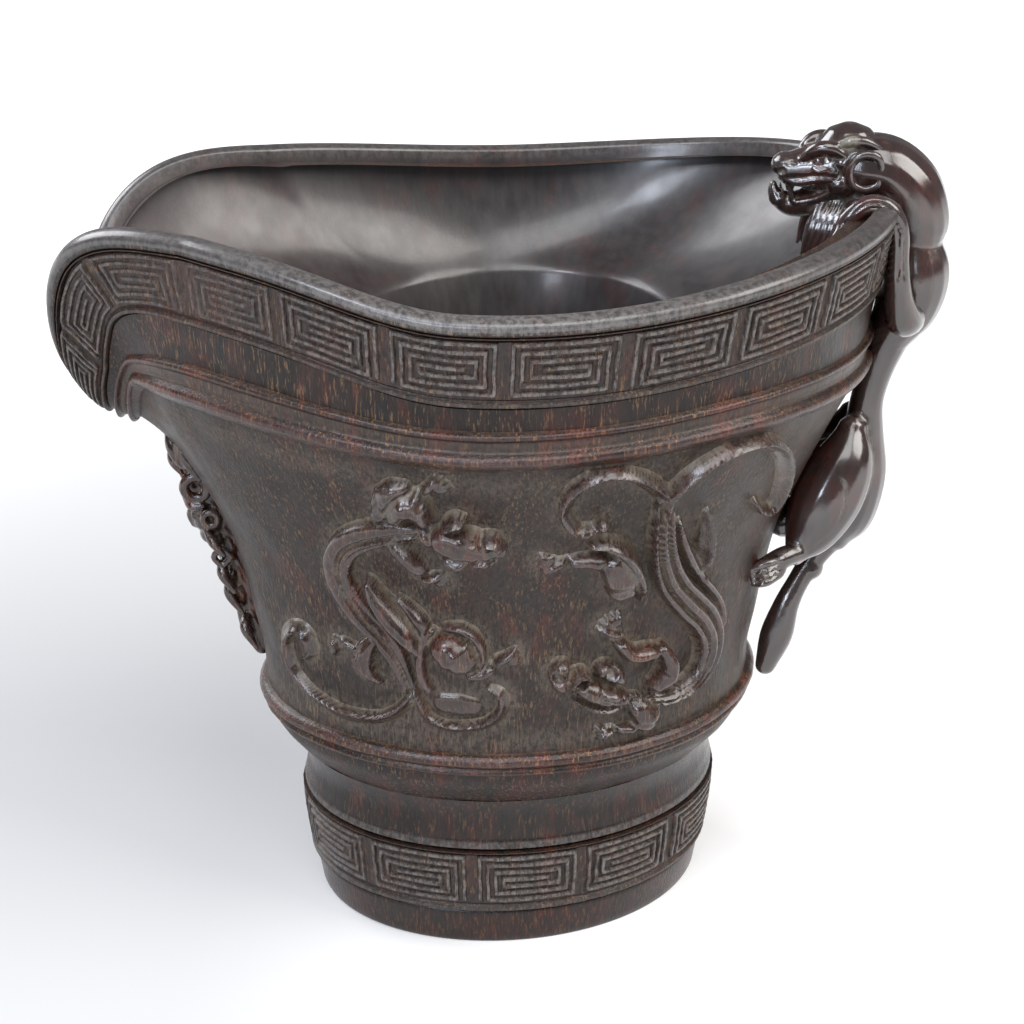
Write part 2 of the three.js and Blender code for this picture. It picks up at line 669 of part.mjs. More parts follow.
// A limb along a route. Each row is a centre, then its thickness in the side view and across.
function limb(rows, growth) {
  const side = new THREE.Vector3(0, 1, 0);
  const curve = new THREE.CatmullRomCurve3(rows.map(([centre]) => centre), false, "centripetal");
  const steps = Math.max(4, (rows.length - 1) * 2);
  const rings = [];
  for (let i = 0; i <= steps; i += 1) {
    const t = i / steps;
    const place = t * (rows.length - 1);
    const k = Math.min(rows.length - 2, Math.floor(place));
    const thick = 2 * growth + THREE.MathUtils.lerp(rows[k][1], rows[k + 1][1], place - k);
    const across = 2 * growth + THREE.MathUtils.lerp(rows[k][2], rows[k + 1][2], place - k);
    const tip = i === 0 ? -1 : Number(i === steps);
    const end = tip === 0 ? 1 : limbEndShare;
    const forward = curve.getTangent(t);
    const up = forward.clone().cross(side).normalize();
    const out = up.clone().cross(forward).normalize();
    const centre = curve.getPoint(t).addScaledVector(forward, tip * growth);
    rings.push(Array.from({ length: limbSides }, (_, j) => {
      const swing = (j / limbSides) * 2 * Math.PI;
      return centre.clone()
        .addScaledVector(up, (thick / 2) * end * Math.cos(swing))
        .addScaledVector(out, (across / 2) * end * Math.sin(swing));
    }));
  }
  return skin(rings, false);
}

// A place by the handle: outward and upward from the wall's handle line, as shares of the
// handle's depth, and sideways, as a share of its width.
function handlePlace([level, outShare, sideShare, upShare = 0]) {
  const point = wallPoint(0, level);
  point.x += handleDepth * outShare + skewShare * handleWidth * sideShare;
  point.y += handleWidth * sideShare;
  point.z += handleDepth * upShare;
  return point;
}

// Rows of a handle limb: place shares, then thickness shares of the depth and of the width.
function handleLimb(rowsShares, mirror = 1, growth = 0) {
  return limb(rowsShares.map(([place, thickShare, acrossShare]) => {
    const [level, out, side, up] = place;
    return [
      handlePlace([level, out, side * mirror, up]),
      handleDepth * thickShare, handleWidth * acrossShare,
    ];
  }), growth);
}

const handleSpineShares = [
  [[0.64, 0.98, 0], 0.72, 0.72], [[0.735, 1.0, 0], 1.04, 0.86], [[0.816, 0.86, 0], 0.76, 0.74],
  [[0.883, 0.65, 0], 0.38, 0.5], [[0.95, 0.4, 0], 0.38, 0.44], [[1.04, 0.27, 0], 0.54, 0.56],
  [[1.22, 0.36, 0], 0.84, 0.84], [[1.46, 0.5, 0], 0.9, 0.94], [[1.72, 0.44, 0], 0.84, 0.96],
  [[2, 0.18, 0], 0.9, 0.9], [[2, -0.2, 0, 0.42], 0.86, 0.74], [[2, -0.5, 0, 0.6], 0.74, 0.58],
];
const handleHeadShares = [
  [[2, -0.5, 0, 0.6], 0.84, 0.56], [[2, -0.76, 0, 0.6], 0.94, 0.66],
  [[2, -1.05, 0, 0.5], 0.72, 0.52], [[2, -1.32, 0, 0.42], 0.5, 0.42],
  [[2, -1.6, 0, 0.42], 0.42, 0.36],
];
const handleJawShares = [
  [[2, -0.82, 0, 0.24], 0.4, 0.4], [[2, -1.2, 0, 0.08], 0.36, 0.32], [[2, -1.5, 0, 0.04], 0.26, 0.24],
];
const handleBeardShares = [
  [[2, -0.85, 0, 0.14], 0.5, 0.46], [[2, -1.06, 0, -0.1], 0.6, 0.5],
  [[2, -1.16, 0, -0.42], 0.5, 0.4], [[2, -1.2, 0, -0.62], 0.3, 0.24],
];
const handleEarShares = [
  [[2, -0.56, -0.3, 0.84], 0.26, 0.16], [[2, -0.42, -0.35, 0.66], 0.44, 0.18],
  [[2, -0.46, -0.3, 0.4], 0.3, 0.16],
];
const handleBrowShares = [
  [[2, -0.9, -0.2, 0.86], 0.2, 0.14], [[2, -1.08, -0.23, 0.72], 0.3, 0.16],
  [[2, -1.26, -0.2, 0.58], 0.2, 0.12],
];
const handleForelegShares = [
  [[1.2, 0.44, -0.3], 0.5, 0.34], [[1.42, 0.34, -0.44], 0.46, 0.32], [[1.72, 0.24, -0.5], 0.44, 0.32],
  [[2, 0.1, -0.5, 0.02], 0.42, 0.3], [[2, -0.16, -0.5, 0.26], 0.4, 0.3],
  [[2, -0.5, -0.5, 0.24], 0.38, 0.3], [[2, -0.82, -0.5, 0.04], 0.34, 0.3],
  [[2, -1.04, -0.52, -0.26], 0.26, 0.26],
];
const handleThighShares = [
  [[0.87, 0.62, -0.24], 0.36, 0.3], [[0.8, 0.64, -0.42], 0.62, 0.38], [[0.72, 0.6, -0.5], 0.66, 0.38],
  [[0.655, 0.46, -0.54], 0.4, 0.28], [[0.64, 0.16, -0.68], 0.36, 0.26],
  [[0.66, -0.2, -0.86], 0.4, 0.36], [[0.65, -0.5, -0.96], 0.3, 0.3],
];
const handleTailShares = [
  [[0.64, 0.72, 0], 0.5, 0.44], [[0.6, 0.5, -0.1], 0.46, 0.4], [[0.55, 0.44, -0.16], 0.36, 0.3],
  [[0.5, 0.36, -0.1], 0.38, 0.3], [[0.45, 0.24, 0], 0.28, 0.26], [[0.42, 0.14, 0.04], 0.2, 0.2],
];

// Openwork carving under the spout: curling stems that stand off the wall.
function spoutPlace(level, outShare, sideShare) {
  const point = wallPoint(spoutDegrees * degree, level);
  point.x -= spoutCarvingDepth * outShare;
  point.y += spoutCarvingWidth * sideShare;
  return point;
}

function spoutLimb(rowsShares, mirror = 1, growth = 0) {
  return limb(rowsShares.map(([level, out, side, thick, across]) => [
    spoutPlace(level, out, side * mirror), spoutCarvingDepth * thick, spoutCarvingWidth * across,
  ]), growth);
}

const spoutCrestShares = [
  [0.95, 0.15, 0, 0.45, 0.34], [0.9, 0.2, 0, 0.6, 0.5], [0.85, 0.24, 0, 0.62, 0.56],
  [0.8, 0.45, 0, 0.8, 0.56], [0.765, 0.5, 0, 0.8, 0.46],
];
const spoutCurlShares = [
  [0.9, 0.25, 0.2, 0.4, 0.16], [0.85, 0.3, 0.46, 0.42, 0.18], [0.79, 0.45, 0.5, 0.42, 0.18],
  [0.755, 0.62, 0.3, 0.42, 0.18], [0.79, 0.7, 0.14, 0.4, 0.16],
];
const spoutMaskShares = [
  [0.745, 0.45, 0, 0.8, 0.42], [0.715, 0.6, 0, 1.0, 0.66], [0.67, 0.6, 0, 0.95, 0.6],
  [0.63, 0.45, 0, 0.7, 0.4],
];
const spoutStemShares = [
  [0.615, 0.42, 0, 0.7, 0.36], [0.585, 0.5, 0, 0.8, 0.46], [0.55, 0.48, 0, 0.75, 0.4],
  [0.5, 0.4, 0, 0.6, 0.32], [0.455, 0.27, 0, 0.5, 0.3], [0.43, 0.18, 0, 0.36, 0.24],
];
const spoutLeafShares = [
  [0.6, 0.3, 0.16, 0.4, 0.2], [0.58, 0.26, 0.38, 0.44, 0.2], [0.54, 0.26, 0.42, 0.44, 0.2],
  [0.505, 0.3, 0.28, 0.4, 0.18], [0.51, 0.4, 0.12, 0.36, 0.16],
];

const group = new THREE.Group();

function addPiece(name, manifold, colour, finish = horn) {
  const material = new THREE.MeshStandardMaterial({ color: colour, ...finish });
  const mesh = new THREE.Mesh(toGeometry(manifold), material);
  mesh.name = name;
  group.add(mesh);
}

const vessel = vesselSolid(0);
const vesselClearance = vesselSolid(seatGap / 2);
const rimFret = fretBand(rimEdges, rimLow, rimHigh);
const footFret = fretBand(footEdges, footLow, footHigh);
const upperBand = stringBand(upperBandShares, [
  [0, 0], [0.05, 0.7], [0.18, 0.9], [0.36, 0.7], [0.46, 0.25], [0.68, 0.25], [0.78, 0.7],
  [0.94, 0.65], [1, 0],
]);
const lowerBand = stringBand(lowerBandShares, [[0, 0], [0.1, 0.7], [0.5, 1], [0.9, 0.7], [1, 0]]);

// What the handle and the carving under the spout are cut clear of: the vessel and its bands,
// each grown by the clearance.
const bandLift = seatGap * 2 + Math.max(fretLineHeight, stringBandProud);
const bandClearanceShares = [-0.12, 0.1, 0.3, 0.5, 0.8, 1.12];
const bandClearance = (low, high) => toManifold(wallBand(low, high, [
  ...bandClearanceShares.map((share) => [share, bandLift]),
  ...bandClearanceShares.toReversed().map((share) => [share, 0]),
]));
const clearances = [
  vesselSolid(seatGap),
  bandClearance(rimLow, (angle) => Math.min(2, rimHigh(angle))),
  bandClearance(() => upperBandShares[0], () => upperBandShares[1]),
  bandClearance(() => lowerBandShares[0], () => lowerBandShares[1]),
];

addPiece("vessel", vessel, "#2b1a15");
addPiece("foot", footSolid(0), "#281814");
addPiece("rim_fret_band", rimFret, "#33201a");
addPiece("foot_fret_band", footFret, "#33201a");
addPiece("upper_string_band", trimmed(upperBand, [vesselClearance]), "#5a2415");
addPiece("lower_string_band", trimmed(lowerBand, [vesselClearance]), "#40201a");
addPiece("front_spout_chilong", trimmed(spoutChilong(1), [vesselClearance]), "#3a2019");
addPiece("back_spout_chilong", trimmed(spoutChilong(-1), [vesselClearance]), "#3a2019");
addPiece("front_handle_chilong", trimmed(handleChilong(1), [vesselClearance]), "#3a2019");
addPiece("back_handle_chilong", trimmed(handleChilong(-1), [vesselClearance]), "#3a2019");

// The handle chilong and the carving under the spout. Every form is made plain and once more
// grown by the clearance, which cuts its neighbours.
const handleForms = {
  body: (growth) => [handleLimb(handleSpineShares, 1, growth)],
  head: (growth) => [
    handleLimb(handleHeadShares, 1, growth), handleLimb(handleJawShares, 1, growth),
    handleLimb(handleBeardShares, 1, growth), handleLimb(handleEarShares, 1, growth),
    handleLimb(handleEarShares, -1, growth), handleLimb(handleBrowShares, 1, growth),
    handleLimb(handleBrowShares, -1, growth),
  ],
};
const formOf = (form, growth) => joined(form(growth));
const single = (shares, mirror) => joined([handleLimb(shares, mirror)]);
const bodyClearance = formOf(handleForms.body, seatGap);
const headClearance = formOf(handleForms.head, seatGap);
const onWall = [...clearances, bodyClearance];

addPiece("handle_chilong_body", trimmed(formOf(handleForms.body, 0), clearances), "#3a2019");
addPiece("handle_chilong_head", trimmed(formOf(handleForms.head, 0), onWall), "#3a2019");
for (const [side, mirror] of [["front", 1], ["back", -1]]) {
  const foreleg = trimmed(single(handleForelegShares, mirror), [...onWall, headClearance]);
  const hindleg = trimmed(single(handleThighShares, mirror), onWall);
  addPiece(`handle_chilong_foreleg_${side}`, foreleg, "#3a2019");
  addPiece(`handle_chilong_hindleg_${side}`, hindleg, "#3a2019");
}
addPiece("handle_chilong_tail", trimmed(single(handleTailShares, 1), onWall), "#3a2019");

const crest = (growth) => joined([
  spoutLimb(spoutCrestShares, 1, growth), spoutLimb(spoutCurlShares, 1, growth),
  spoutLimb(spoutCurlShares, -1, growth),
]);
const mask = (growth) => joined([spoutLimb(spoutMaskShares, 1, growth)]);
const stem = joined([
  spoutLimb(spoutStemShares), spoutLimb(spoutLeafShares), spoutLimb(spoutLeafShares, -1),
]);
addPiece("spout_carving_crest", trimmed(crest(0), clearances), "#3a2019");
addPiece("spout_carving_mask", trimmed(mask(0), [...clearances, crest(seatGap)]), "#3a2019");
addPiece("spout_carving_stem", trimmed(stem, [...clearances, mask(seatGap)]), "#3a2019");

// The cup stands with the middle of its plan over the origin.
const middle = new THREE.Box3().setFromObject(group).getCenter(new THREE.Vector3());
for (const mesh of group.children) mesh.geometry.translate(-middle.x, -middle.y, 0);

export default group;
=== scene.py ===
# Carved horn libation cup: every carved form and finish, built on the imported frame.
import math
import bpy
import numpy as np
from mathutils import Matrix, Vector
from mathutils.kdtree import KDTree


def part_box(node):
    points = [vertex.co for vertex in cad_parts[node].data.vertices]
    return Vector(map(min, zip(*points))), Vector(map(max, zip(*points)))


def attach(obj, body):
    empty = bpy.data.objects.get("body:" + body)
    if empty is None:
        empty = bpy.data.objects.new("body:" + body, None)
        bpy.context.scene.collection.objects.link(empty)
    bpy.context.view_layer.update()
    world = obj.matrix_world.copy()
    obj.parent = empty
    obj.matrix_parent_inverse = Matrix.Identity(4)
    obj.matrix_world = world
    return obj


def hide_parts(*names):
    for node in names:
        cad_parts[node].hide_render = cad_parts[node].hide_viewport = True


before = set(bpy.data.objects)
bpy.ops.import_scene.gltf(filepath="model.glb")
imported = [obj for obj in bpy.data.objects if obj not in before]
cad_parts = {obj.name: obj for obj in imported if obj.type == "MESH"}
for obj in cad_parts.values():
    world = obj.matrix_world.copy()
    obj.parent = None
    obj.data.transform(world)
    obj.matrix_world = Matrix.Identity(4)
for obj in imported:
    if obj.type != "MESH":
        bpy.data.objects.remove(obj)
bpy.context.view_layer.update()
bpy.ops.object.select_all(action="DESELECT")

# Stage: a white paper sweep under and behind the cup, and the camera at the height of a
# photographer who looks a little down into the mouth. The paper keeps the cup's shadow on
# the left; far off and on the right a painted glow paints it out.
foot_low, foot_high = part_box("foot")
plan_middle = Vector(((foot_low.x + foot_high.x) / 2, (foot_low.y + foot_high.y) / 2, 0))
EASED = {"interpolation_type": "SMOOTHSTEP"}
ADDED, TIMES, LARGER = ({"operation": name} for name in ("ADD", "MULTIPLY", "MAXIMUM"))


def linear(colour):
    """An sRGB hex colour as the linear colour that a shader takes."""
    shares = [int(colour[i:i + 2], 16) / 255 for i in (1, 3, 5)]
    return [s / 12.92 if s <= 0.04045 else ((s + 0.055) / 1.055) ** 2.4 for s in shares] + [1]


def add_node(tree, kind, inputs=(), out=0, **settings):
    """Adds a node and gives one output. An input is a value or the socket that feeds it."""
    node = tree.nodes.new("ShaderNode" + kind)
    for key, value in settings.items():
        setattr(node, key, value)
    for key, value in inputs.items() if isinstance(inputs, dict) else enumerate(inputs):
        if isinstance(value, bpy.types.NodeSocket):
            tree.links.new(value, node.inputs[key])
        else:
            node.inputs[key].default_value = value
    return node.outputs[out] if node.outputs else None


bpy.ops.mesh.primitive_plane_add(size=8, location=(plan_middle.x, 1.5, 0))
paper = bpy.context.object
paper.name = "paper_sweep"
bpy.ops.object.mode_set(mode="EDIT")
bpy.ops.mesh.subdivide(number_cuts=6)
bpy.ops.object.mode_set(mode="OBJECT")
bpy.ops.object.transform_apply(location=True, rotation=True, scale=True)

# White paper, matt under the lamps. Painted light: where the camera and reflections see it,
# the paper glows up to white far off and on the right, which paints out the cup's shadow there,
# so that only the soft shadow on the left stays grey. Each glow is the metres where it starts
# and is full, and its strength.
FAR_GLOW = (0.15, 0.4, 0, 0.6)
RIGHT_GLOW = (-0.06, 0.03, 0, 0.42)
paper_finish = bpy.data.materials.new("white background paper with painted glow")
paper_finish.use_nodes = True
tree = paper_finish.node_tree
tree.nodes.clear()
seen = add_node(tree, "LightPath", out="Is Camera Ray")
for kind_of_ray in ("Is Glossy Ray", "Is Transmission Ray"):
    ray = add_node(tree, "LightPath", out=kind_of_ray)
    seen = add_node(tree, "Math", (seen, ray), **LARGER)
place = add_node(tree, "TexCoord", out="Object")
away = add_node(tree, "VectorMath", (place,), out="Value", operation="LENGTH")
far = add_node(tree, "MapRange", (away, *FAR_GLOW), **EASED)
sideways = add_node(tree, "SeparateXYZ", (place,))
right = add_node(tree, "MapRange", (sideways, *RIGHT_GLOW), **EASED)
painted_glow_area = add_node(tree, "Math", (far, right), **LARGER)
lift = add_node(tree, "Math", (seen, painted_glow_area), **TIMES)
matt = add_node(tree, "BsdfDiffuse", (linear("#cecece"),))
# Painted light: the glow that lifts the paper to white where the camera and reflections see it.
glow = add_node(tree, "Emission", (linear("#ffffff"), lift))
add_node(tree, "OutputMaterial", (add_node(tree, "AddShader", (matt, glow)),))
paper.data.materials.append(paper_finish)

# A white room: it lights the cup a little and looks full white to the camera.
ROOM_LIGHT, ROOM_SEEN = 0.24, 1.0
studio = bpy.data.worlds.new("white studio")
bpy.context.scene.world = studio
studio.use_nodes = True
tree = studio.node_tree
tree.nodes.clear()
ray = add_node(tree, "LightPath", out="Is Camera Ray")
room = add_node(tree, "MapRange", (ray, 0, 1, ROOM_LIGHT, ROOM_SEEN))
add_node(tree, "OutputWorld", (add_node(tree, "Background", (linear("#f4f6fa"), room)),))

# Five soft boxes: the main one high on the right, which throws the shadow to the left, one
# behind on the left for the inside of the mouth, two small cool ones like window panes at the
# front left for the highlights on the carving, and a wide one overhead.
LAMPS_AIM = Vector((0, 0, 0.07))
for name, place, size, power, colour in (
        ("main", (0.95, -0.35, 0.9), 0.8, 12, "#fffbf6"),
        ("back", (-0.95, 0.6, 0.8), 0.8, 13, "#fafbff"),
        ("window", (-0.55, -0.75, 0.95), 0.36, 6, "#eaf1ff"),
        ("low_window", (-0.45, -1.05, 0.42), 0.28, 3.5, "#e6efff"),
        ("overhead", (0.1, -0.72, 1.15), 0.8, 8, "#ffffff")):
    bpy.ops.object.light_add(type="AREA", location=place)
    lamp = bpy.context.object
    lamp.name = name + "_softbox"
    lamp.data.shape = "SQUARE"
    lamp.data.size = size
    lamp.data.energy = power
    lamp.data.color = linear(colour)[:3]
    aim = LAMPS_AIM - Vector(place)
    lamp.rotation_euler = aim.to_track_quat("-Z", "Y").to_euler()

CAMERA_AIM = Vector((0.0005, 0, 0.0692))
LOOK_DOWN = math.radians(23.5)
CAMERA_DISTANCE = 0.4092       # m
FOCAL, FRAME, SENSOR = 2350, 1024, 36    # pixels, pixels, mm
look_from = CAMERA_DISTANCE * Vector((0, -math.cos(LOOK_DOWN), math.sin(LOOK_DOWN)))
bpy.ops.object.camera_add(location=plan_middle + CAMERA_AIM + look_from,
                          rotation=(math.pi / 2 - LOOK_DOWN, 0, 0))
camera = bpy.context.object
camera.data.sensor_width = SENSOR
camera.data.lens = FOCAL / FRAME * SENSOR
camera.data.clip_start = 0.01
bpy.context.scene.camera = camera
bpy.context.scene.view_settings.view_transform = "Standard"

# Vessel: the hollow body, flared neck and channel spout, carved from one piece of horn. The
# outside is aged and dusty, the lip and the inside are rubbed smooth. Sizes are in mm.
FOOT = (34.0, 29.0)            # half length and half width at the base
BODY_TOP = (61.49, 48.48)      # the same at the top of the body
MOUTH = (65.0, 50.5)           # the same at the rim
BODY_HEIGHT, MOUTH_HEIGHT, SPOUT_HEIGHT = 98.0, 120.5, 95.0
BODY_SHIFT, MOUTH_SHIFT = 1.5, 1.0
CORNER_RISE, SPOUT_UNDERCUT, SPOUT_BULGE = 2.4, 10, 10
SPOUT_RISE, HANDLE_RISE = 6.4, 5
SKEW, EGG, SPOUT, SPOUT_LIP = 0.12, 0.2, 0.4, 0.72
SPOUT_ROUND, SPOUT_TURN = .12, .78
OUTWARD = [(0, 0), (.07, .04), (.2, .085), (.225, .085), (.255, .07), (.3, .12), (.325, .2),
           (.36, .29), (.4, .31), (.45, .31), (.55, .37), (.7, .475), (.8, .62), (.9, .8),
           (1, 1)]
WELL = [(0, 1), (.13, .86), (.5, .72), (.8, .6), (.94, .5), (1, .38)]
WELL_HALF = (36.0, 44.0)
WELL_TOP, WELL_FLOOR, WELL_DROP, LIP = 110.0, 40.0, 16, 3.2
COLLAR = 0.75                  # how far the fret collar stands off the neck
FOOT_TOP = 29.3                # where the vessel sits on its foot
FOOT_SHARE, COLLAR_SHARE = .3, 1.3


def along(table, x):
    """A smooth curve through a table that never overshoots its points."""
    xs, ys = np.array(table, float).T
    rise = np.diff(ys) / np.diff(xs)
    same = rise[:-1] * rise[1:] > 0
    middle = np.where(same, 2 * rise[:-1] * rise[1:] / np.where(same, rise[:-1] + rise[1:], 1), 0)
    slope = np.concatenate([[rise[0]], middle, [rise[-1]]])
    k = np.clip(np.searchsorted(xs, x) - 1, 0, len(rise) - 1)
    span = xs[k + 1] - xs[k]
    t = np.clip((x - xs[k]) / span, 0, 1)
    return (ys[k] * (1 + 2 * t) * (1 - t) ** 2 + span * slope[k] * t * (1 - t) ** 2
            + ys[k + 1] * t * t * (3 - 2 * t) + span * slope[k + 1] * t * t * (t - 1))


def smooth(t):
    """A step from 0 to 1 that starts and ends gently."""
    t = np.clip(t, 0, 1)
    return t * t * (3 - 2 * t)


def bell(x, middle, width, power=2):
    """1 at the middle, falling off to 0 beyond the width."""
    return np.exp(-((x - middle) / width) ** power)


def in_spout(c, s, power):
    """1 on the middle line of the spout and 0 outside it, from a direction's cosine and sine."""
    return np.where(c < 0, np.clip(1 - (s / SPOUT) ** 2, 0, 1) ** power, 0)


def wall(turn, level):
    """The outer wall: level 0 is the base, 1 the top of the body and 2 the rim."""
    turn, level = np.broadcast_arrays(np.asarray(turn, float), np.asarray(level, float))
    c, s = np.cos(turn), np.sin(turn)
    corner = CORNER_RISE * (2 * c * s) ** 2 - SPOUT_UNDERCUT * in_spout(c, s, 2)
    low = np.clip(level, 0, 1)
    out = along(OUTWARD, low)
    body = np.stack([
        -BODY_SHIFT * out ** 2 + (FOOT[0] + (BODY_TOP[0] - FOOT[0]) * out) * c,
        (FOOT[1] + (BODY_TOP[1] - FOOT[1]) * out) * s * (1 + EGG * c * out),
        low * BODY_HEIGHT + corner * low ** 6], -1)
    top = np.stack([-BODY_SHIFT + BODY_TOP[0] * c, BODY_TOP[1] * s * (1 + EGG * c),
                    BODY_HEIGHT + corner], -1)
    inward = np.clip(1 - (np.hypot(s, SPOUT_ROUND) - SPOUT_ROUND)
                     / (math.hypot(SPOUT_LIP, SPOUT_ROUND) - SPOUT_ROUND), 0, 1)
    bulge = np.where(c < 0, SPOUT_BULGE * np.sin(SPOUT_TURN * math.pi * inward ** .9), 0)
    channel = np.where(c < 0, np.clip(1 - np.abs(s / SPOUT_LIP) ** 1.8, 0, 1) ** 3, 0)
    spout_rim = SPOUT_RISE * (1 - np.abs(s) ** np.where(s < 0, 14, 4.4))
    edge = MOUTH_HEIGHT + np.where(c < 0, spout_rim, HANDLE_RISE * (1 - np.abs(s) ** 3.2))
    rim = np.stack([-MOUTH_SHIFT + MOUTH[0] * c - bulge, MOUTH[1] * s * (1 + EGG * c),
                    edge + (SPOUT_HEIGHT - edge) * channel], -1)
    lean = in_spout(c, s, 1.5)[..., None]
    middle = top + (rim - top) * (.25 + .45 * lean)
    middle[..., 2] = ((top + rim) / 2 * (1 - lean) + top * lean)[..., 2]
    t = np.clip(level - 1, 0, 1)[..., None]
    neck = top * (1 - t) ** 2 + 2 * middle * t * (1 - t) + rim * t * t
    points = np.where(level[..., None] > 1, neck, body)
    points[..., 0] += SKEW * points[..., 1]
    return points


def lifted(turn, level, lift):
    """Points that stand off the outer wall by lift mm."""
    turn, level, lift = np.broadcast_arrays(turn, level, lift)
    step = .004
    high = np.minimum(level, 2 - step)
    around = wall(turn + step, level) - wall(turn - step, level)
    up = wall(turn, high + step) - wall(turn, np.maximum(high - step, 0))
    normal = np.cross(around, up)
    normal /= np.linalg.norm(normal, axis=-1, keepdims=True)
    return wall(turn, level) + normal * np.asarray(lift)[..., None]


def waver(x, y, seed=0.0):
    """A gentle unevenness of -1 to 1, as a hand tool leaves it."""
    return (np.sin(x * 1.00 + 2.3 * np.sin(y * .71 + seed)) * .5
            + np.sin(y * 1.37 + 1.9 * np.sin(x * .53 + 2 * seed)) * .3
            + np.sin(x * 2.9 + y * 2.3 + seed) * .2)


FRET_DEPTH = 13.0              # from the rim down to the lower edge of the rim fret
FRET_MARGIN = 1.5
FRET_LOWEST = 1.36             # the fret stays above this level at the spout's tip


def fret_edges(turn):
    """The wall levels at the lower and upper edge of the rim fret."""
    rungs = np.linspace(2, 1, 51)
    path = wall(np.asarray(turn)[..., None], rungs)
    down = np.cumsum(np.linalg.norm(np.diff(path, axis=-2), axis=-1), axis=-1)
    down = np.concatenate([np.zeros(down.shape[:-1] + (1,)), down], -1)
    low = np.array([np.interp(FRET_DEPTH, d, rungs) for d in down.reshape(-1, len(rungs))])
    low = np.maximum(low.reshape(down.shape[:-1]), FRET_LOWEST)
    return low, 2 - (2 - low) * FRET_MARGIN / FRET_DEPTH


def in_place(points):
    """Points in mm around the foot's middle, as points of the frame in metres."""
    return np.asarray(points, float) / 1000 + np.array(plan_middle)


def grid_faces(rows, columns):
    """Quads between rows of equal length, each row closed to a ring."""
    a = np.arange(rows * columns).reshape(rows, columns)
    b = np.roll(a, -1, 1)
    return np.stack([a[:-1], b[:-1], b[1:], a[1:]], -1).reshape(-1, 4)


def capped(rings, first, last):
    """Points and faces of a skin of rings, closed at each end by a fan round a point."""
    count, wide = rings.shape[:2]
    hub, end = count * wide, (count - 1) * wide
    faces = grid_faces(count, wide).tolist()
    faces += [[hub, (k + 1) % wide, k] for k in range(wide)]
    faces += [[hub + 1, end + k, end + (k + 1) % wide] for k in range(wide)]
    return np.concatenate([rings.reshape(-1, 3), [first], [last]]), faces


def banded(top, under):
    """Points and faces of a closed band: the rows of its top skin, then its underside."""
    rings = np.concatenate([top, under])
    count, wide = rings.shape[:2]
    first = np.arange(wide)
    last = first + (count - 1) * wide
    closing = np.stack([last, np.roll(last, -1), np.roll(first, -1), first], -1)
    return rings.reshape(-1, 3), np.concatenate([grid_faces(count, wide), closing])


def selected(name, points, faces):
    """A new object in the scene, made the only one selected."""
    mesh = bpy.data.meshes.new(name)
    mesh.from_pydata(points.tolist(), [], [list(map(int, face)) for face in faces])
    piece = bpy.data.objects.new(name, mesh)
    bpy.context.scene.collection.objects.link(piece)
    bpy.ops.object.select_all(action="DESELECT")
    bpy.context.view_layer.objects.active = piece
    piece.select_set(True)
    return piece


def carved_piece(name, points, faces, finishes, slot, nodes, marks, picks=None, sharp=40):
    """Makes one carved piece. Marks say where dust, wear and red horn lie, vertex by vertex,
    0 past their end; on the vessel's lip the wear mark also carries a painted highlight. Picks say
    which finish each face has."""
    piece = selected(name, in_place(points), faces)
    mesh = piece.data
    mesh.validate()
    for finish in finishes:
        mesh.materials.append(finish)
    if picks is not None:
        mesh.polygons.foreach_set("material_index", np.asarray(picks, np.int32))
    for key, values in marks.items():
        mark = mesh.attributes.new(key, "FLOAT", "POINT")
        padded = np.zeros(len(points), np.float32)
        padded[:np.size(values)] = np.ravel(values)
        mark.data.foreach_set("value", padded)
    bpy.ops.object.shade_smooth_by_angle(angle=math.radians(sharp))
    piece.select_set(False)
    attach(piece, "root")
    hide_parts(*nodes)
    return piece


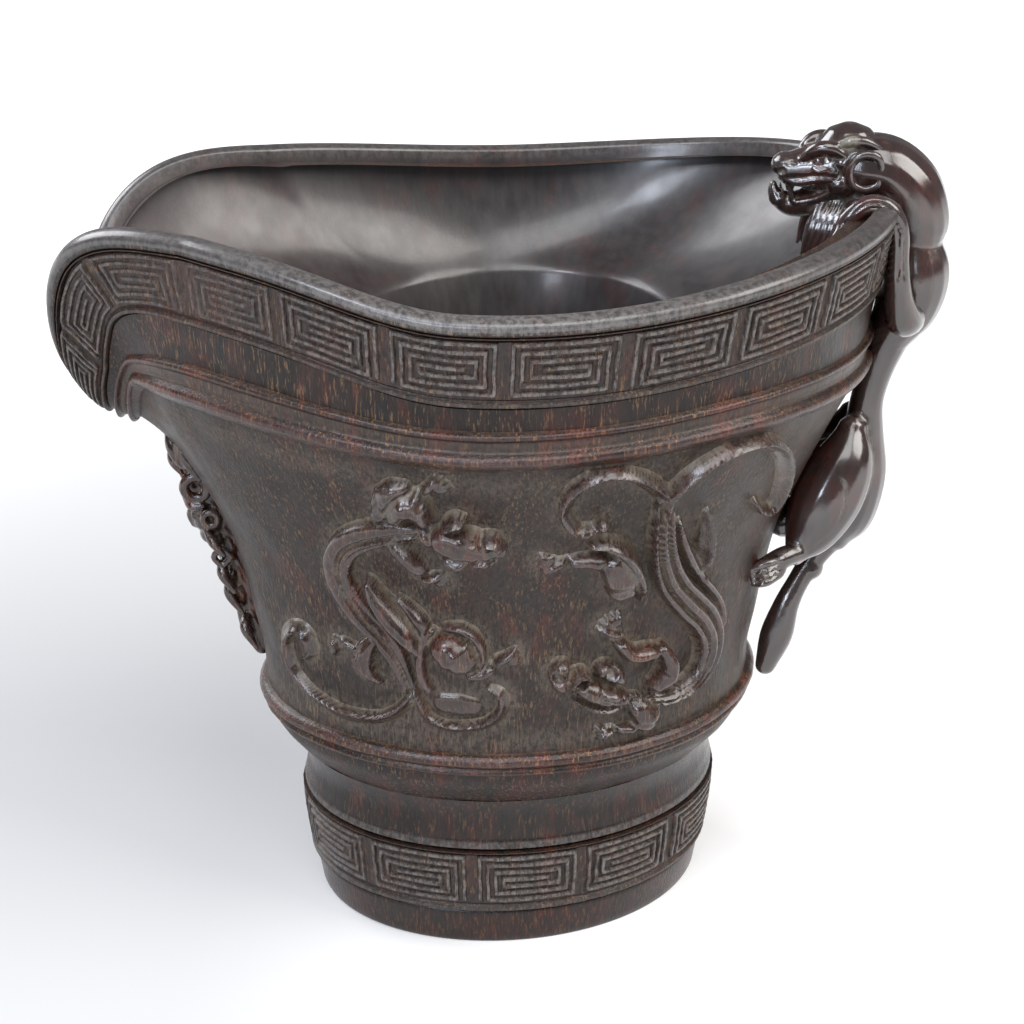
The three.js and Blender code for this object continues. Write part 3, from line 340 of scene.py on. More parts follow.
def horn_finish(name, dark, warm, fleck, dust, flecks=1.0, dusty=1.0, rough=.36, streak=1.0,
                tooth=.8, coat=.12, ior=1.55):
    """Horn: fibres 0.36 mm thick run up the cup, with red-brown streaks 12 mm across."""
    finish = bpy.data.materials.new(name)
    finish.use_nodes = True
    tree = finish.node_tree
    tree.nodes.clear()
    place = add_node(tree, "TexCoord", out="Object")
    # Noise whose patches are so many mm across and tall.
    grain = {}
    for key, across, tall, detail, roughness in (
            ("cloud", 12, 22, 3, .5), ("patch", 3.5, 9, 3, .5), ("fibre", .36, 3.2, 3, .65),
            ("pore", .5, 1.6, 3, .7), ("broad", 1.6, 14, 3, .5), ("spot", 5, 8, 3, .5),
            ("speck", .8, .9, 4, .7), ("scuff", .9, 1.4, 4, .7)):
        stretched = add_node(tree, "Mapping", {
            "Vector": place, "Scale": (1000 / across, 1000 / across, 1000 / tall)})
        grain[key] = add_node(tree, "TexNoise", {
            "Vector": stretched, "Scale": 1.0, "Detail": detail, "Roughness": roughness})
    # Each share grows from least to most as its noise goes from low to high.
    share = {}
    for key, source, low, high, least, most in (
            ("cloud", "cloud", .4, .62, 0, 1), ("patch", "patch", .46, .62, 0, 1),
            ("warm", "broad", .35, .68, 0, 1), ("streak", "fibre", .38, .58, .2, 1),
            ("fleck", "fibre", .54, .64, 0, 1), ("spot", "spot", .36, .58, .2, 1),
            ("veil", "speck", .3, .6, .25, 1), ("scuff", "scuff", .36, .62, .1, .62),
            ("pore", "pore", .52, .38, 0, .75 * tooth),
            ("gloss", "spot", .3, .7, rough - .05, rough + .09)):
        share[key] = add_node(tree, "MapRange", (grain[source], low, high, least, most), **EASED)
    marked = {key: add_node(tree, "Attribute", out="Fac", attribute_name=key)
              for key in ("dust", "wear", "red")}

    red = add_node(tree, "Math", (share["cloud"], share["patch"]), **TIMES)
    red = add_node(tree, "Math", (red, .55 * streak), **TIMES)
    rubbed = add_node(tree, "Math", (marked["red"], .8), **TIMES)
    red = add_node(tree, "Math", (red, rubbed), **ADDED)
    red = add_node(tree, "Math", (red, share["streak"]), **TIMES)
    spots = add_node(tree, "Math", (share["fleck"], share["spot"]), **TIMES)
    spots = add_node(tree, "Math", (spots, flecks), **TIMES)
    veil = add_node(tree, "Math", (marked["dust"], share["veil"]), **TIMES)
    veil = add_node(tree, "Math", (veil, dusty), **TIMES)
    # Pale scuffs where the wear mark lies: real wear, and on the front of the vessel's lip a painted
    # highlight.
    scuffs_and_highlight = add_node(tree, "Math", (marked["wear"], share["scuff"]), **TIMES)
    colour = linear(dark)
    for amount, over in ((share["warm"], warm), (red, "#551d11"), (spots, fleck), (veil, dust),
                         (scuffs_and_highlight, "#8d8884"), (share["pore"], "#0b0706")):
        colour = add_node(tree, "Mix", {0: amount, 6: colour, 7: linear(over)}, out=2,
                          data_type="RGBA")

    dull = add_node(tree, "Math", (veil, .42), **TIMES)
    gloss = add_node(tree, "Math", (share["gloss"], dull), **ADDED)
    heights = [add_node(tree, "Math", (grain[key], part), **TIMES)
               for key, part in (("fibre", .6), ("pore", .7))]
    bump = add_node(tree, "Bump", {"Strength": tooth, "Distance": .00024,
                                   "Height": add_node(tree, "Math", heights, **ADDED)})
    shader = add_node(tree, "BsdfPrincipled", {
        "Base Color": colour, "Roughness": gloss, "IOR": ior, "Normal": bump,
        "Coat Weight": coat, "Coat Roughness": .16})
    add_node(tree, "OutputMaterial", (shader,))
    return finish


# Outside: horn darkened by age, satin, with pale fibre ends and dust in the hollows. Inside and
# lip: the same horn rubbed smooth, greyer, with red-brown clouds near the spout.
aged_horn = horn_finish("aged carved horn, satin", "#140d0b", "#281813", "#85694a", "#6b6157",
                        flecks=.6, rough=.38, coat=.06, ior=1.41)
rubbed_horn = horn_finish("horn rubbed smooth by hand", "#292525", "#343030", "#5f5048",
                          "#5f5852", flecks=.12, streak=.5, tooth=.1, coat=.4, ior=1.6)

# The outside as rows of wall level and lift: the plain wall, the floor of the fret's groove
# and the collar above it.
COLUMNS = 480
GROOVE, GROOVE_EDGE, TOOL_MARK = -.45, .35, .16      # mm
LIP_CROWN, FLOOR_SAG, SPOUT_THICKER = 1.15, 1.3, .35
turns = np.linspace(0, 2 * math.pi, COLUMNS, endpoint=False)
low, high = fret_edges(turns)
edge = GROOVE_EDGE * (2 - low) / FRET_DEPTH
one = np.ones(COLUMNS)
rows = [(one * level, 0) for level in np.linspace(FOOT_SHARE + .002, COLLAR_SHARE, 96)]
rows += [(COLLAR_SHARE + (low - edge - COLLAR_SHARE) * share, 0)
         for share in np.linspace(0, 1, 18)[1:-1]]
rows += [(low - edge, 0), (low - edge * .2, GROOVE), ((low + high) / 2, GROOVE),
         (high + edge * .1, GROOVE), (high + edge, COLLAR * .92)]
rows += [(high + edge + (1.995 - high - edge) * share, COLLAR)
         for share in np.linspace(0, 1, 7)[1:]]
levels = np.array([level for level, _ in rows])
lifts = np.array([lift for _, lift in rows])[:, None] * one
tool_marks = TOOL_MARK * waver(9 * turns[None] + 0 * levels, levels * 14)
outside = lifted(turns[None], levels, lifts + tool_marks * (lifts == 0))

lip_out, lip_in = lifted(turns, 2 * one, COLLAR), lifted(turns, 2 * one, -LIP)
rising = wall(turns, 1.999 * one) - wall(turns, 1.9 * one)
rising /= np.linalg.norm(rising, axis=-1, keepdims=True)
lip = np.stack([(lip_out + lip_in) / 2 + (lip_out - lip_in) / 2 * math.cos(a)
                + rising * LIP_CROWN * math.sin(a)
                for a in np.radians([20, 45, 70, 95, 120, 145, 165])])

# The inside follows the outer wall just under the lip and then blends into the well.
BLEND_DEPTH = .13
depths = np.concatenate([np.linspace(0, .16, 36), np.linspace(.18, 1, 30)])[:, None]
c, s = np.cos(turns)[None], np.sin(turns)[None]
width = along(WELL, depths)
well_top = WELL_TOP - WELL_DROP * in_spout(c, s, 1)
well = np.stack([-BODY_SHIFT + WELL_HALF[0] * width * c, WELL_HALF[1] * width * s + 0 * c,
                 well_top + (WELL_FLOOR - well_top) * depths], -1)
well[..., 0] += SKEW * well[..., 1]
thick = LIP * (1 + SPOUT_THICKER * in_spout(c, s, 1))
mouth = lifted(turns[None], np.maximum(1, 2 - depths / BLEND_DEPTH), -thick + 0 * depths)
inside = mouth + (well - mouth) * smooth(depths / BLEND_DEPTH)[..., None]
floor_middle = inside[-1].mean(0)
floor = np.stack([floor_middle + (inside[-1] - floor_middle) * share + [0, 0, (.1 - FLOOR_SAG) * (1 - share)]
                  for share in (.8, .5, .2)])
base = np.stack([wall(turns, FOOT_SHARE * one) * [share, share, 0] + [0, 0, FOOT_TOP]
                 for share in (.3, .8, .985)])
skins = np.concatenate([base, outside, lip, inside, floor])
points, faces = capped(skins, [0, 0, FOOT_TOP], floor_middle - [0, 0, FLOOR_SAG])
first_inside = len(base) + len(outside)
row_of_face = np.repeat(np.arange(len(skins) - 1), COLUMNS)
picks = np.concatenate([row_of_face >= first_inside - 3, np.zeros(COLUMNS), np.ones(COLUMNS)])

# The lip carries wear all round, and the extra pale wear at the front is a painted highlight
# along its upper edge. Dust lies along both string bands, and red horn shows inside the spout.
wear, dust, red = np.zeros((3, len(skins), COLUMNS))
# Painted highlight: the pale wear that peaks at the front of the lip.
wear[first_inside - 5:first_inside + 9] = .3 + .5 * bell(np.degrees(turns), 275, 38)
near_band = np.minimum(bell(levels, .44, .03) + bell(levels, .955, .025), 1)
on_body = .12 * smooth((levels - .4) / .1) * smooth((1.0 - levels) / .06)
dust[len(base):first_inside] = np.maximum(on_body, .5 * near_band)
red[first_inside + 8:] = .55 * bell(np.minimum(turns, 2 * math.pi - turns), math.pi, .55)
vessel = carved_piece("cup_vessel", points, faces, [aged_horn, rubbed_horn], "dark_horn",
                      ["vessel"], {"wear": wear, "dust": dust, "red": red}, picks)

# Foot: the waisted oval base under the vessel, cut from the same horn, glossy at the waist,
# with a shallow recess below.
polished_horn = horn_finish("polished dark horn", "#120d0c", "#231713", "#6b4a2c", "#6a6058",
                            flecks=.5, dusty=.6, rough=.25, streak=.9, tooth=.5, ior=1.42)
SEAT = [(0, 0), (.064, 0), (.07, GROOVE), (.198, GROOVE), (.204, .3), (.214, .34), (.224, 0),
        (.32, 0)]
FOOT_CAP, RECESS = 29.9, 2.0
UNDERSIDE = [(20, RECESS), (8, RECESS), (6.9, 1.8), (6.3, .5), (5.8, .05), (5.2, 0), (.7, 0),
             (.15, .15)]       # mm inwards from the outline, and mm up
foot_levels = np.concatenate([np.linspace(.006, .058, 6), [.064, .067, .07, .1, .17, .198, .201,
                              .204, .209, .214, .219, .224], np.linspace(.235, .302, 12)])
foot_lifts = np.interp(foot_levels, *np.array(SEAT).T)
outline = wall(turns, 0 * turns)
outline_reach = np.linalg.norm(outline[:, :2], axis=1)[:, None]
under = []
for inset, height in UNDERSIDE:
    ring = outline.copy()
    ring[:, :2] *= (outline_reach - inset) / outline_reach
    ring[:, 2] = height
    under.append(ring)
side = lifted(turns[None], foot_levels[:, None], foot_lifts[:, None] + 0 * turns[None])
cap = np.stack([side[-1] * [share, share, 0] + [0, 0, FOOT_CAP] for share in (.93, .4)])
skins = np.concatenate([under, side, cap])
wear, dust, red = np.zeros((3, len(skins), COLUMNS))
wear[5:8] = .5
wear[np.where(np.abs(foot_levels - .209) < .006)[0] + len(under)] = .5
dust[:5] = .7
red[8:14] = .3 * smooth(.5 + .8 * waver(turns * 5, turns * 2, 1.0))
carved_piece("cup_foot", *capped(skins, [0, 0, RECESS], [0, 0, FOOT_CAP]), [polished_horn],
             "dark_horn", ["foot"], {"wear": wear, "dust": dust, "red": red})

# Key-fret bands round the rim and the foot: squared spirals of fine raised lines, cut down
# into the collar with a narrow chisel, between an incised groove above and below.
PITCH = 1.35                   # spacing of the raised lines
LINE_REACH, LINE_SLOPE = .43, .17      # half width of a line's foot, and of its sloping side
BAND, FIELD, FIELD_LOW = 11.5, 6 * PITCH, 2.05
CELL_GAP = 2 * PITCH           # between two spirals
GROUND, UNDER, TREMOR = .12, -.38, .1      # lift of the ground between the lines and of
# the band's underside, and how far a line strays
LINE_STEPS = np.array([-.4, -.22, .22, .4])      # mm from a line's middle, for the mesh
BORDER = [(0, -.3), (.12, .6), (.3, .72), (.75, .7), (.95, .1), (1.15, .0), (1.5, .3),
          (1.8, -9), (FIELD_LOW + FIELD + .7, -9), (FIELD_LOW + FIELD + .9, -.05),
          (11.15, -.05), (11.3, .7), (BAND, .72)]      # mm up, and lift


def spiral(length, height):
    """A squared spiral that winds inwards from the lower left corner, as its corners."""
    route = [(0, 0)]
    for k in range(3):
        inset = k * PITCH
        route += [(inset, height - inset), (length - inset, height - inset),
                  (length - inset, inset), (inset + PITCH, inset)]
    return route + [(3 * PITCH, height - 3 * PITCH), (length - 3.4 * PITCH, height - 3 * PITCH)]


def line_height(x, y, route):
    """1 on the lines of the route and 0 beside them."""
    near = np.full(np.broadcast(x, y).shape, 9.0)
    for (ax, ay), (bx, by) in zip(route, route[1:]):
        span = max(math.hypot(bx - ax, by - ay), 1e-6)
        t = np.clip(((x - ax) * (bx - ax) + (y - ay) * (by - ay)) / span ** 2, 0, 1)
        near = np.minimum(near, np.hypot(x - ax - t * (bx - ax), y - ay - t * (by - ay)))
    return smooth((LINE_REACH - near) / LINE_SLOPE)


def fret_band(name, node, count, edges, fade, finish):
    """Lays out equal cells round the wall between two levels and carves every second one
    mirrored. Fade gives how worn the lines are at a direction."""
    fine = np.linspace(0, 2 * math.pi, 1441)
    low, high = edges(fine)
    path = wall(fine, (low + high) / 2)
    run = np.concatenate([[0], np.cumsum(np.linalg.norm(np.diff(path, axis=0), axis=1))])
    cell = run[-1] / count
    length = cell - CELL_GAP
    stops = [LINE_STEPS + k * PITCH for k in range(4)]
    stops += [length - k * PITCH + LINE_STEPS for k in range(4)]
    stops.append(np.linspace(3.6 * PITCH, length - 3.6 * PITCH, 6))
    across = np.concatenate([[-CELL_GAP / 2], np.unique(np.round(np.concatenate(stops), 3))])
    up = [[0, .12, .3, .75, .95, 1.15, 1.5, FIELD_LOW + FIELD + .75, FIELD_LOW + FIELD + .9,
           11.2, 11.35, BAND]]
    up = np.sort(np.concatenate(up + [FIELD_LOW + .27 + k * PITCH + LINE_STEPS for k in range(7)]))
    turned = np.concatenate([np.interp(k * cell + CELL_GAP / 2 + across, run, fine)
                             for k in range(count)])
    x = np.concatenate([length - across if k % 2 else across for k in range(count)])[None]
    y = up[:, None] - FIELD_LOW - .27
    low, high = edges(turned)
    wave_x = TREMOR * waver(run[-1] * turned[None] / 9, up[:, None] * 1.3, 2.0)
    wave_y = TREMOR * waver(run[-1] * turned[None] / 11, up[:, None] * 1.1, 5.0)
    marked = line_height(x + 0 * y, y + 0 * x, spiral(length, FIELD))
    worn = fade(turned)[None]
    height = GROUND + (COLLAR - GROUND) * (marked * (1 - .55 * worn) + .4 * worn)
    inner = (y > -.45) & (y < FIELD + .45)
    height = np.where(inner, height, np.interp(up, *np.array(BORDER).T)[:, None])
    level = low[None] + (high - low)[None] * (up[:, None] + wave_y * inner) / BAND
    shifted = turned[None] + wave_x / (run[-1] / (2 * math.pi))
    top = lifted(shifted, level, height + .05 * waver(x * 3, y * 3, 1.0))
    under = lifted(turned[None], np.stack([high, low]), UNDER)
    inner = inner & (x > -.5) & (x < length + .5)
    wear = np.where(inner, marked * (1 - .6 * worn), 0)
    wear[(up > .2) & (up < .8)] = .35
    carved_piece(name, *banded(top, under), [finish], "carved_horn", [node],
                 {"wear": wear * .9, "dust": np.where(inner, (1 - marked) * .55, .2),
                  "red": .25 * worn + 0 * height}, sharp=55)


def foot_edges(turned):
    """The wall levels at the lower and upper edge of the foot fret."""
    return np.full(turned.shape, .073), np.full(turned.shape, .197)


def rim_wear(turned):
    """Worn almost flat on the front left, where a thumb rests, and a little at the back."""
    at = np.degrees(np.where(turned > math.pi, turned - 2 * math.pi, turned))
    return np.clip(.95 * bell(at, -133, 17) + .5 * bell(at, 110, 25) + .12, 0, 1)


def foot_wear(turned):
    """Worn on the front left and a little at the back."""
    at = np.degrees(np.where(turned > math.pi, turned - 2 * math.pi, turned))
    return np.clip(.75 * bell(at, -150, 32) + .4 * bell(at, 60, 30), 0, 1)


fret_horn = horn_finish("chiselled horn, grey on the edges", "#1a1210", "#30201a", "#8a683f",
                        "#4a4039", flecks=.6, rough=.4, ior=1.45)
fret_band("rim_fret", "rim_fret_band", 22, fret_edges, rim_wear, fret_horn)
fret_band("foot_fret", "foot_fret_band", 11, foot_edges, foot_wear, fret_horn)

# String bands: two plain raised mouldings left standing round the body, the upper one with a
# second thin line above it. They are rubbed, so red-brown horn shows through.
ridge_horn = horn_finish("rubbed horn moulding", "#1a100d", "#301a13", "#8f6638", "#655a50",
                         flecks=.7, rough=.28, streak=2.0, tooth=.6, ior=1.45)


STRING_UNDER = -.35


def string_band(name, low, high, redness, profile):
    """A moulding round the wall between two levels. The profile is share of height, lift."""
    fine = np.linspace(0, 1, 34)
    rise = np.interp(fine, *np.array(profile).T)
    rise[1:-1] = (rise[:-2] + 2 * rise[1:-1] + rise[2:]) / 4
    level = low + (high - low) * fine[:, None] + .0016 * waver(turns * 11, turns * 3, low)[None]
    top = lifted(turns[None], level, rise[:, None] + .06 * waver(turns * 25, turns * 9, 3.0))
    under = lifted(turns[None], level[[-1, 0]], STRING_UNDER)
    crest = smooth((rise - .7) / .6)[:, None] * (.6 + .4 * waver(turns * 7, turns * 5, 1.0))[None]
    dust = .5 * smooth((.6 - rise) / .5)[:, None] + 0 * crest
    carved_piece(name, *banded(top, under), [ridge_horn], "carved_horn", [name + "_band"],
                 {"wear": .3 * crest, "dust": dust, "red": redness * crest})


string_band("upper_string", .985, 1.25, .9, [
    (0, -.2), (.03, .55), (.1, 1.2), (.2, 1.45), (.3, 1.2), (.38, .6), (.43, .12), (.5, .25),
    (.66, .35), (.7, .12), (.74, .5), (.8, 1.0), (.88, 1.05), (.95, .7), (1, -.2)])
string_band("lower_string", .372, .418, .8, [
    (0, -.2), (.06, .5), (.2, .95), (.3, .7), (.36, .35), (.44, .8), (.6, 1.45), (.75, 1.35),
    (.9, .8), (1, -.2)])

# Four chilong in relief: hornless dragons that climb the wall, with scrolled tails, clawed
# paws and ridged bodies. Each is a skin over the wall, cut as a carver would, form by form.
DEGREES_PER_MM, LEVEL_PER_MM = 1.1, .0098      # along the wall at the carving's mean height
MM_PER_RADIAN, MM_PER_LEVEL, SKIN_STEP = 52, 106, .3
FORM_RISE, GROOVE_CUT = 1.25, 1.6              # shares of the heights and depths given below
TOE_REACH, TOE_FAN, TOE_THICK = .86, .62, 1.3  # shares of the reach, fan and thickness
GROOVE_HALF, EDGE_SLOPE = .32, 1.3
BURIED, SKIN_FOOT, UNDERSIDE_DEPTH = -.6, -.3, -1.0


def spline(points, count):
    """A Catmull-Rom curve through points, with count steps in all."""
    points = np.array(points, float)
    if len(points) < 3:
        return points[0] + (points[-1] - points[0]) * np.linspace(0, 1, count + 1)[:, None]
    ends = np.concatenate([[2 * points[0] - points[1]], points, [2 * points[-1] - points[-2]]])
    at = np.linspace(0, len(points) - 1, count + 1)
    k = np.minimum(at.astype(int), len(points) - 2)
    t = (at - k)[:, None]
    a, b, c, d = ends[k], ends[k + 1], ends[k + 2], ends[k + 3]
    return .5 * (2 * b + (c - a) * t + (2 * a - 5 * b + 4 * c - d) * t ** 2
                 + (3 * b - a - 3 * c + d) * t ** 3)


def near_route(points, normals, route, margin):
    """For points: which lie within margin of the route, how far, on which side, and where."""
    inside_box = (points > route.min(0) - margin) & (points < route.max(0) + margin)
    keep = np.where(inside_box.all(1))[0]
    best = np.full(len(keep), 1e9)
    where, side = np.zeros(len(keep)), np.ones(len(keep))
    spot, up = points[keep], normals[keep]
    for k in range(len(route) - 1):
        run = route[k + 1] - route[k]
        t = np.clip(((spot - route[k]) @ run) / max(run @ run, 1e-9), 0, 1)
        off = spot - route[k] - t[:, None] * run
        gap = np.linalg.norm(off, axis=1)
        nearer = gap < best
        best = np.where(nearer, gap, best)
        where = np.where(nearer, (k + t) / (len(route) - 1), where)
        side = np.where(nearer, np.sign((np.cross(up, run) * off).sum(1)), side)
    return keep, best, side, where


# Cross sections: share of the half width, share of the height. A minus before a section's name
# turns it round.
SECTIONS = {
    "round": [(-1, 0), (-.97, .3), (-.85, .56), (-.6, .82), (-.3, .96), (0, 1), (.3, .96),
              (.6, .82), (.85, .56), (.97, .3), (1, 0)],
    "flat": [(-1, 0), (-.95, .55), (-.8, .88), (-.4, 1), (.4, 1), (.8, .88), (.95, .55), (1, 0)],
    "crest": [(-1, 0), (-.85, .2), (-.4, .34), (0, .55), (.3, .82), (.5, 1), (.72, .97),
              (.9, .68), (1, 0)],
}


def cut_form(height, points, normals, route, widths, heights, section, grooves):
    """Raises one form out of the height field. What lies below it is cut back along its edge."""
    keep, gap, side, where = near_route(points, normals, route, max(widths) + 1.2)
    width = np.interp(where, np.linspace(0, 1, len(widths)), widths)
    rise = FORM_RISE * np.interp(where, np.linspace(0, 1, len(heights)), heights)
    across = gap / width * side
    xs, ys = np.array(SECTIONS[section.strip("-")]).T
    if section.startswith("-"):
        xs, ys = -xs[::-1], ys[::-1]
    top = rise * np.interp(across, xs, ys)
    on_form = np.abs(across) < 1
    for offset, depth in grooves:
        groove = bell(across * width, offset * width, GROOVE_HALF) * on_form
        top -= GROOVE_CUT * depth * groove
    beyond = np.clip(gap - width, 0, None)
    top = np.where(beyond > 0, -EDGE_SLOPE * beyond, top)
    trench = np.where(height[keep] > 0, .5 * bell(beyond, 0, .38), 0)
    height[keep] = np.maximum(height[keep] - trench, top)


def paw(turn, level, heading, toes=4, reach=3.4, fan=70, thick=.62):
    """A palm, and toes that spread from the wrist and curl. Heading is the angle in degrees
    from the wall's level line."""
    reach, fan, thick = TOE_REACH * reach, TOE_FAN * fan, TOE_THICK * thick

    def onward(start, length, angle):
        angle = math.radians(angle)
        return (start[0] + DEGREES_PER_MM * length * math.cos(angle),
                start[1] + LEVEL_PER_MM * length * math.sin(angle))

    wrist = (turn, level)
    forms = [([wrist, onward(wrist, .35 * reach, heading)], [1.3, 1.25], [1.5, 1.6])]
    for k in range(toes):
        spread = fan * (k / (toes - 1) - .5)
        knuckle = onward(wrist, .55 * reach, heading + spread)
        tip = onward(knuckle, .45 * reach, heading + 1.35 * spread)
        forms.append(([wrist, knuckle, tip], [thick, thick * .95, thick * .45],
                      [1.5, 1.75, 1.5, .8]))
    return forms


def blurred(field, weight, times):
    """Evens out a grid: each inner point becomes a mean in which it has this weight."""
    field = field.copy()
    for _ in range(times):
        field[1:-1, 1:-1] = (field[1:-1, 1:-1] * weight + field[:-2, 1:-1] + field[2:, 1:-1]
                             + field[1:-1, :-2] + field[1:-1, 2:]) / (weight + 4)
    return field


def settle_dust(spots):
    """Lets dust lie on the vessel's wall within 4 mm of the foot of a relief."""
    tree = KDTree(len(spots))
    for k, spot in enumerate(in_place(spots)):
        tree.insert(spot, k)
    tree.balance()
    mark = vessel.data.attributes["dust"]
    values = np.zeros(len(mark.data), np.float32)
    mark.data.foreach_get("value", values)
    for k, corner in enumerate(vessel.data.vertices):
        gap = tree.find(corner.co)[2] * 1000
        if gap < 4:
            values[k] = max(values[k], .8 * bell(gap, 0, 1.8))
    mark.data.foreach_set("value", values)


def relief(name, forms, pits, mirror, turn_range, level_range):
    """A closed skin over a region of the wall, raised by the forms and sunk by the pits."""
    wide = int(np.radians(turn_range[1] - turn_range[0]) * MM_PER_RADIAN / SKIN_STEP)
    tall = int((level_range[1] - level_range[0]) * MM_PER_LEVEL / SKIN_STEP)
    turned, level = np.broadcast_arrays(
        np.radians(np.linspace(*turn_range, wide))[None] * mirror,
        np.linspace(*level_range, tall)[:, None])
    flat = wall(turned, level).reshape(-1, 3)
    normals = lifted(turned, level, 1.0).reshape(-1, 3) - flat
    height = np.full(len(flat), BURIED)
    for places, widths, heights, *more in forms:
        section, grooves = (more + ["round", []][len(more):])
        if mirror < 0:
            section = section[1:] if section.startswith("-") else "-" + section
            grooves = [(-offset, depth) for offset, depth in grooves]
        places = spline(places, max(6, 9 * len(places)))
        route = wall(np.radians(places[:, 0]) * mirror, places[:, 1])
        cut_form(height, flat, normals, route, widths, heights, section, grooves)
    for turn, high, radius, depth in pits:
        spot = wall(math.radians(turn) * mirror, high)
        height -= depth * bell(np.linalg.norm(flat - spot, axis=1), 0, radius, 4)

    # Dust in the hollows and low on the forms, wear on what stands out.
    field = blurred(np.maximum(height, BURIED).reshape(tall, wide), 4, 2)
    broad = blurred(field, 2, 14)
    hollow = np.clip((broad - field) * 1.5 + .12, 0, 1)
    dust = np.clip(hollow * 1.1 + .75 * np.clip(1 - field / 1.1, 0, 1) ** 2, 0, 1)
    wear = np.clip((field - broad) * .5, 0, .4) * (field > .6)
    field = field + .05 * waver(turned * 90, level * 130, 4.0) * (field > 0)

    # The cells that reach the wall are kept, and where two touch at a corner alone, the gap
    # between them is filled.
    highest = np.maximum.reduce([field[:-1, :-1], field[1:, :-1], field[:-1, 1:], field[1:, 1:]])
    kept = highest > SKIN_FOOT
    kept[[0, -1]] = False
    kept[:, [0, -1]] = False
    for _ in range(6):
        a, b, c, d = kept[:-1, :-1], kept[:-1, 1:], kept[1:, :-1], kept[1:, 1:]
        touch = (a & d & ~b & ~c) | (b & c & ~a & ~d)
        for part in (a, b, c, d):
            part |= touch
    row, column = np.where(kept)
    first = row * wide + column
    top = np.stack([first, first + 1, first + wide + 1, first + wide], 1)
    count = tall * wide
    padded = np.pad(kept, 1)
    faces = [top, top[:, ::-1] + count]
    for down, across, a, b in ((-1, 0, 0, 1), (0, 1, 1, 2), (1, 0, 2, 3), (0, -1, 3, 0)):
        open_edge = ~padded[row + 1 + down, column + 1 + across]
        start, end = top[open_edge, a], top[open_edge, b]
        faces.append(np.stack([end, start, start + count, end + count], 1))
    used, faces = np.unique(np.concatenate(faces), return_inverse=True)
    faces = faces.reshape(-1, 4)
    if mirror < 0:
        faces = faces[:, ::-1]
    skins = np.concatenate([lifted(turned, level, field).reshape(-1, 3),
                            lifted(turned, level, UNDERSIDE_DEPTH).reshape(-1, 3)])
    red = .25 * np.clip(field / 2, 0, 1)
    marks = {key: np.tile(values.ravel(), 2)[used]
             for key, values in (("dust", dust), ("wear", wear), ("red", red))}
    carved_piece(name + "_relief", skins[used], faces, [relief_horn], "carved_horn",
                 [name + "_chilong"], marks, sharp=50)
    settle_dust(flat[height > 0])


# The carving keeps dust in every hollow and shines where fingers reach it.
relief_horn = horn_finish("carved horn relief, dust in the hollows", "#150e0c", "#2c1812",
                          "#8f6a3e", "#7b7061", flecks=.4, rough=.19, streak=1.2, tooth=.3,
                          coat=.3)
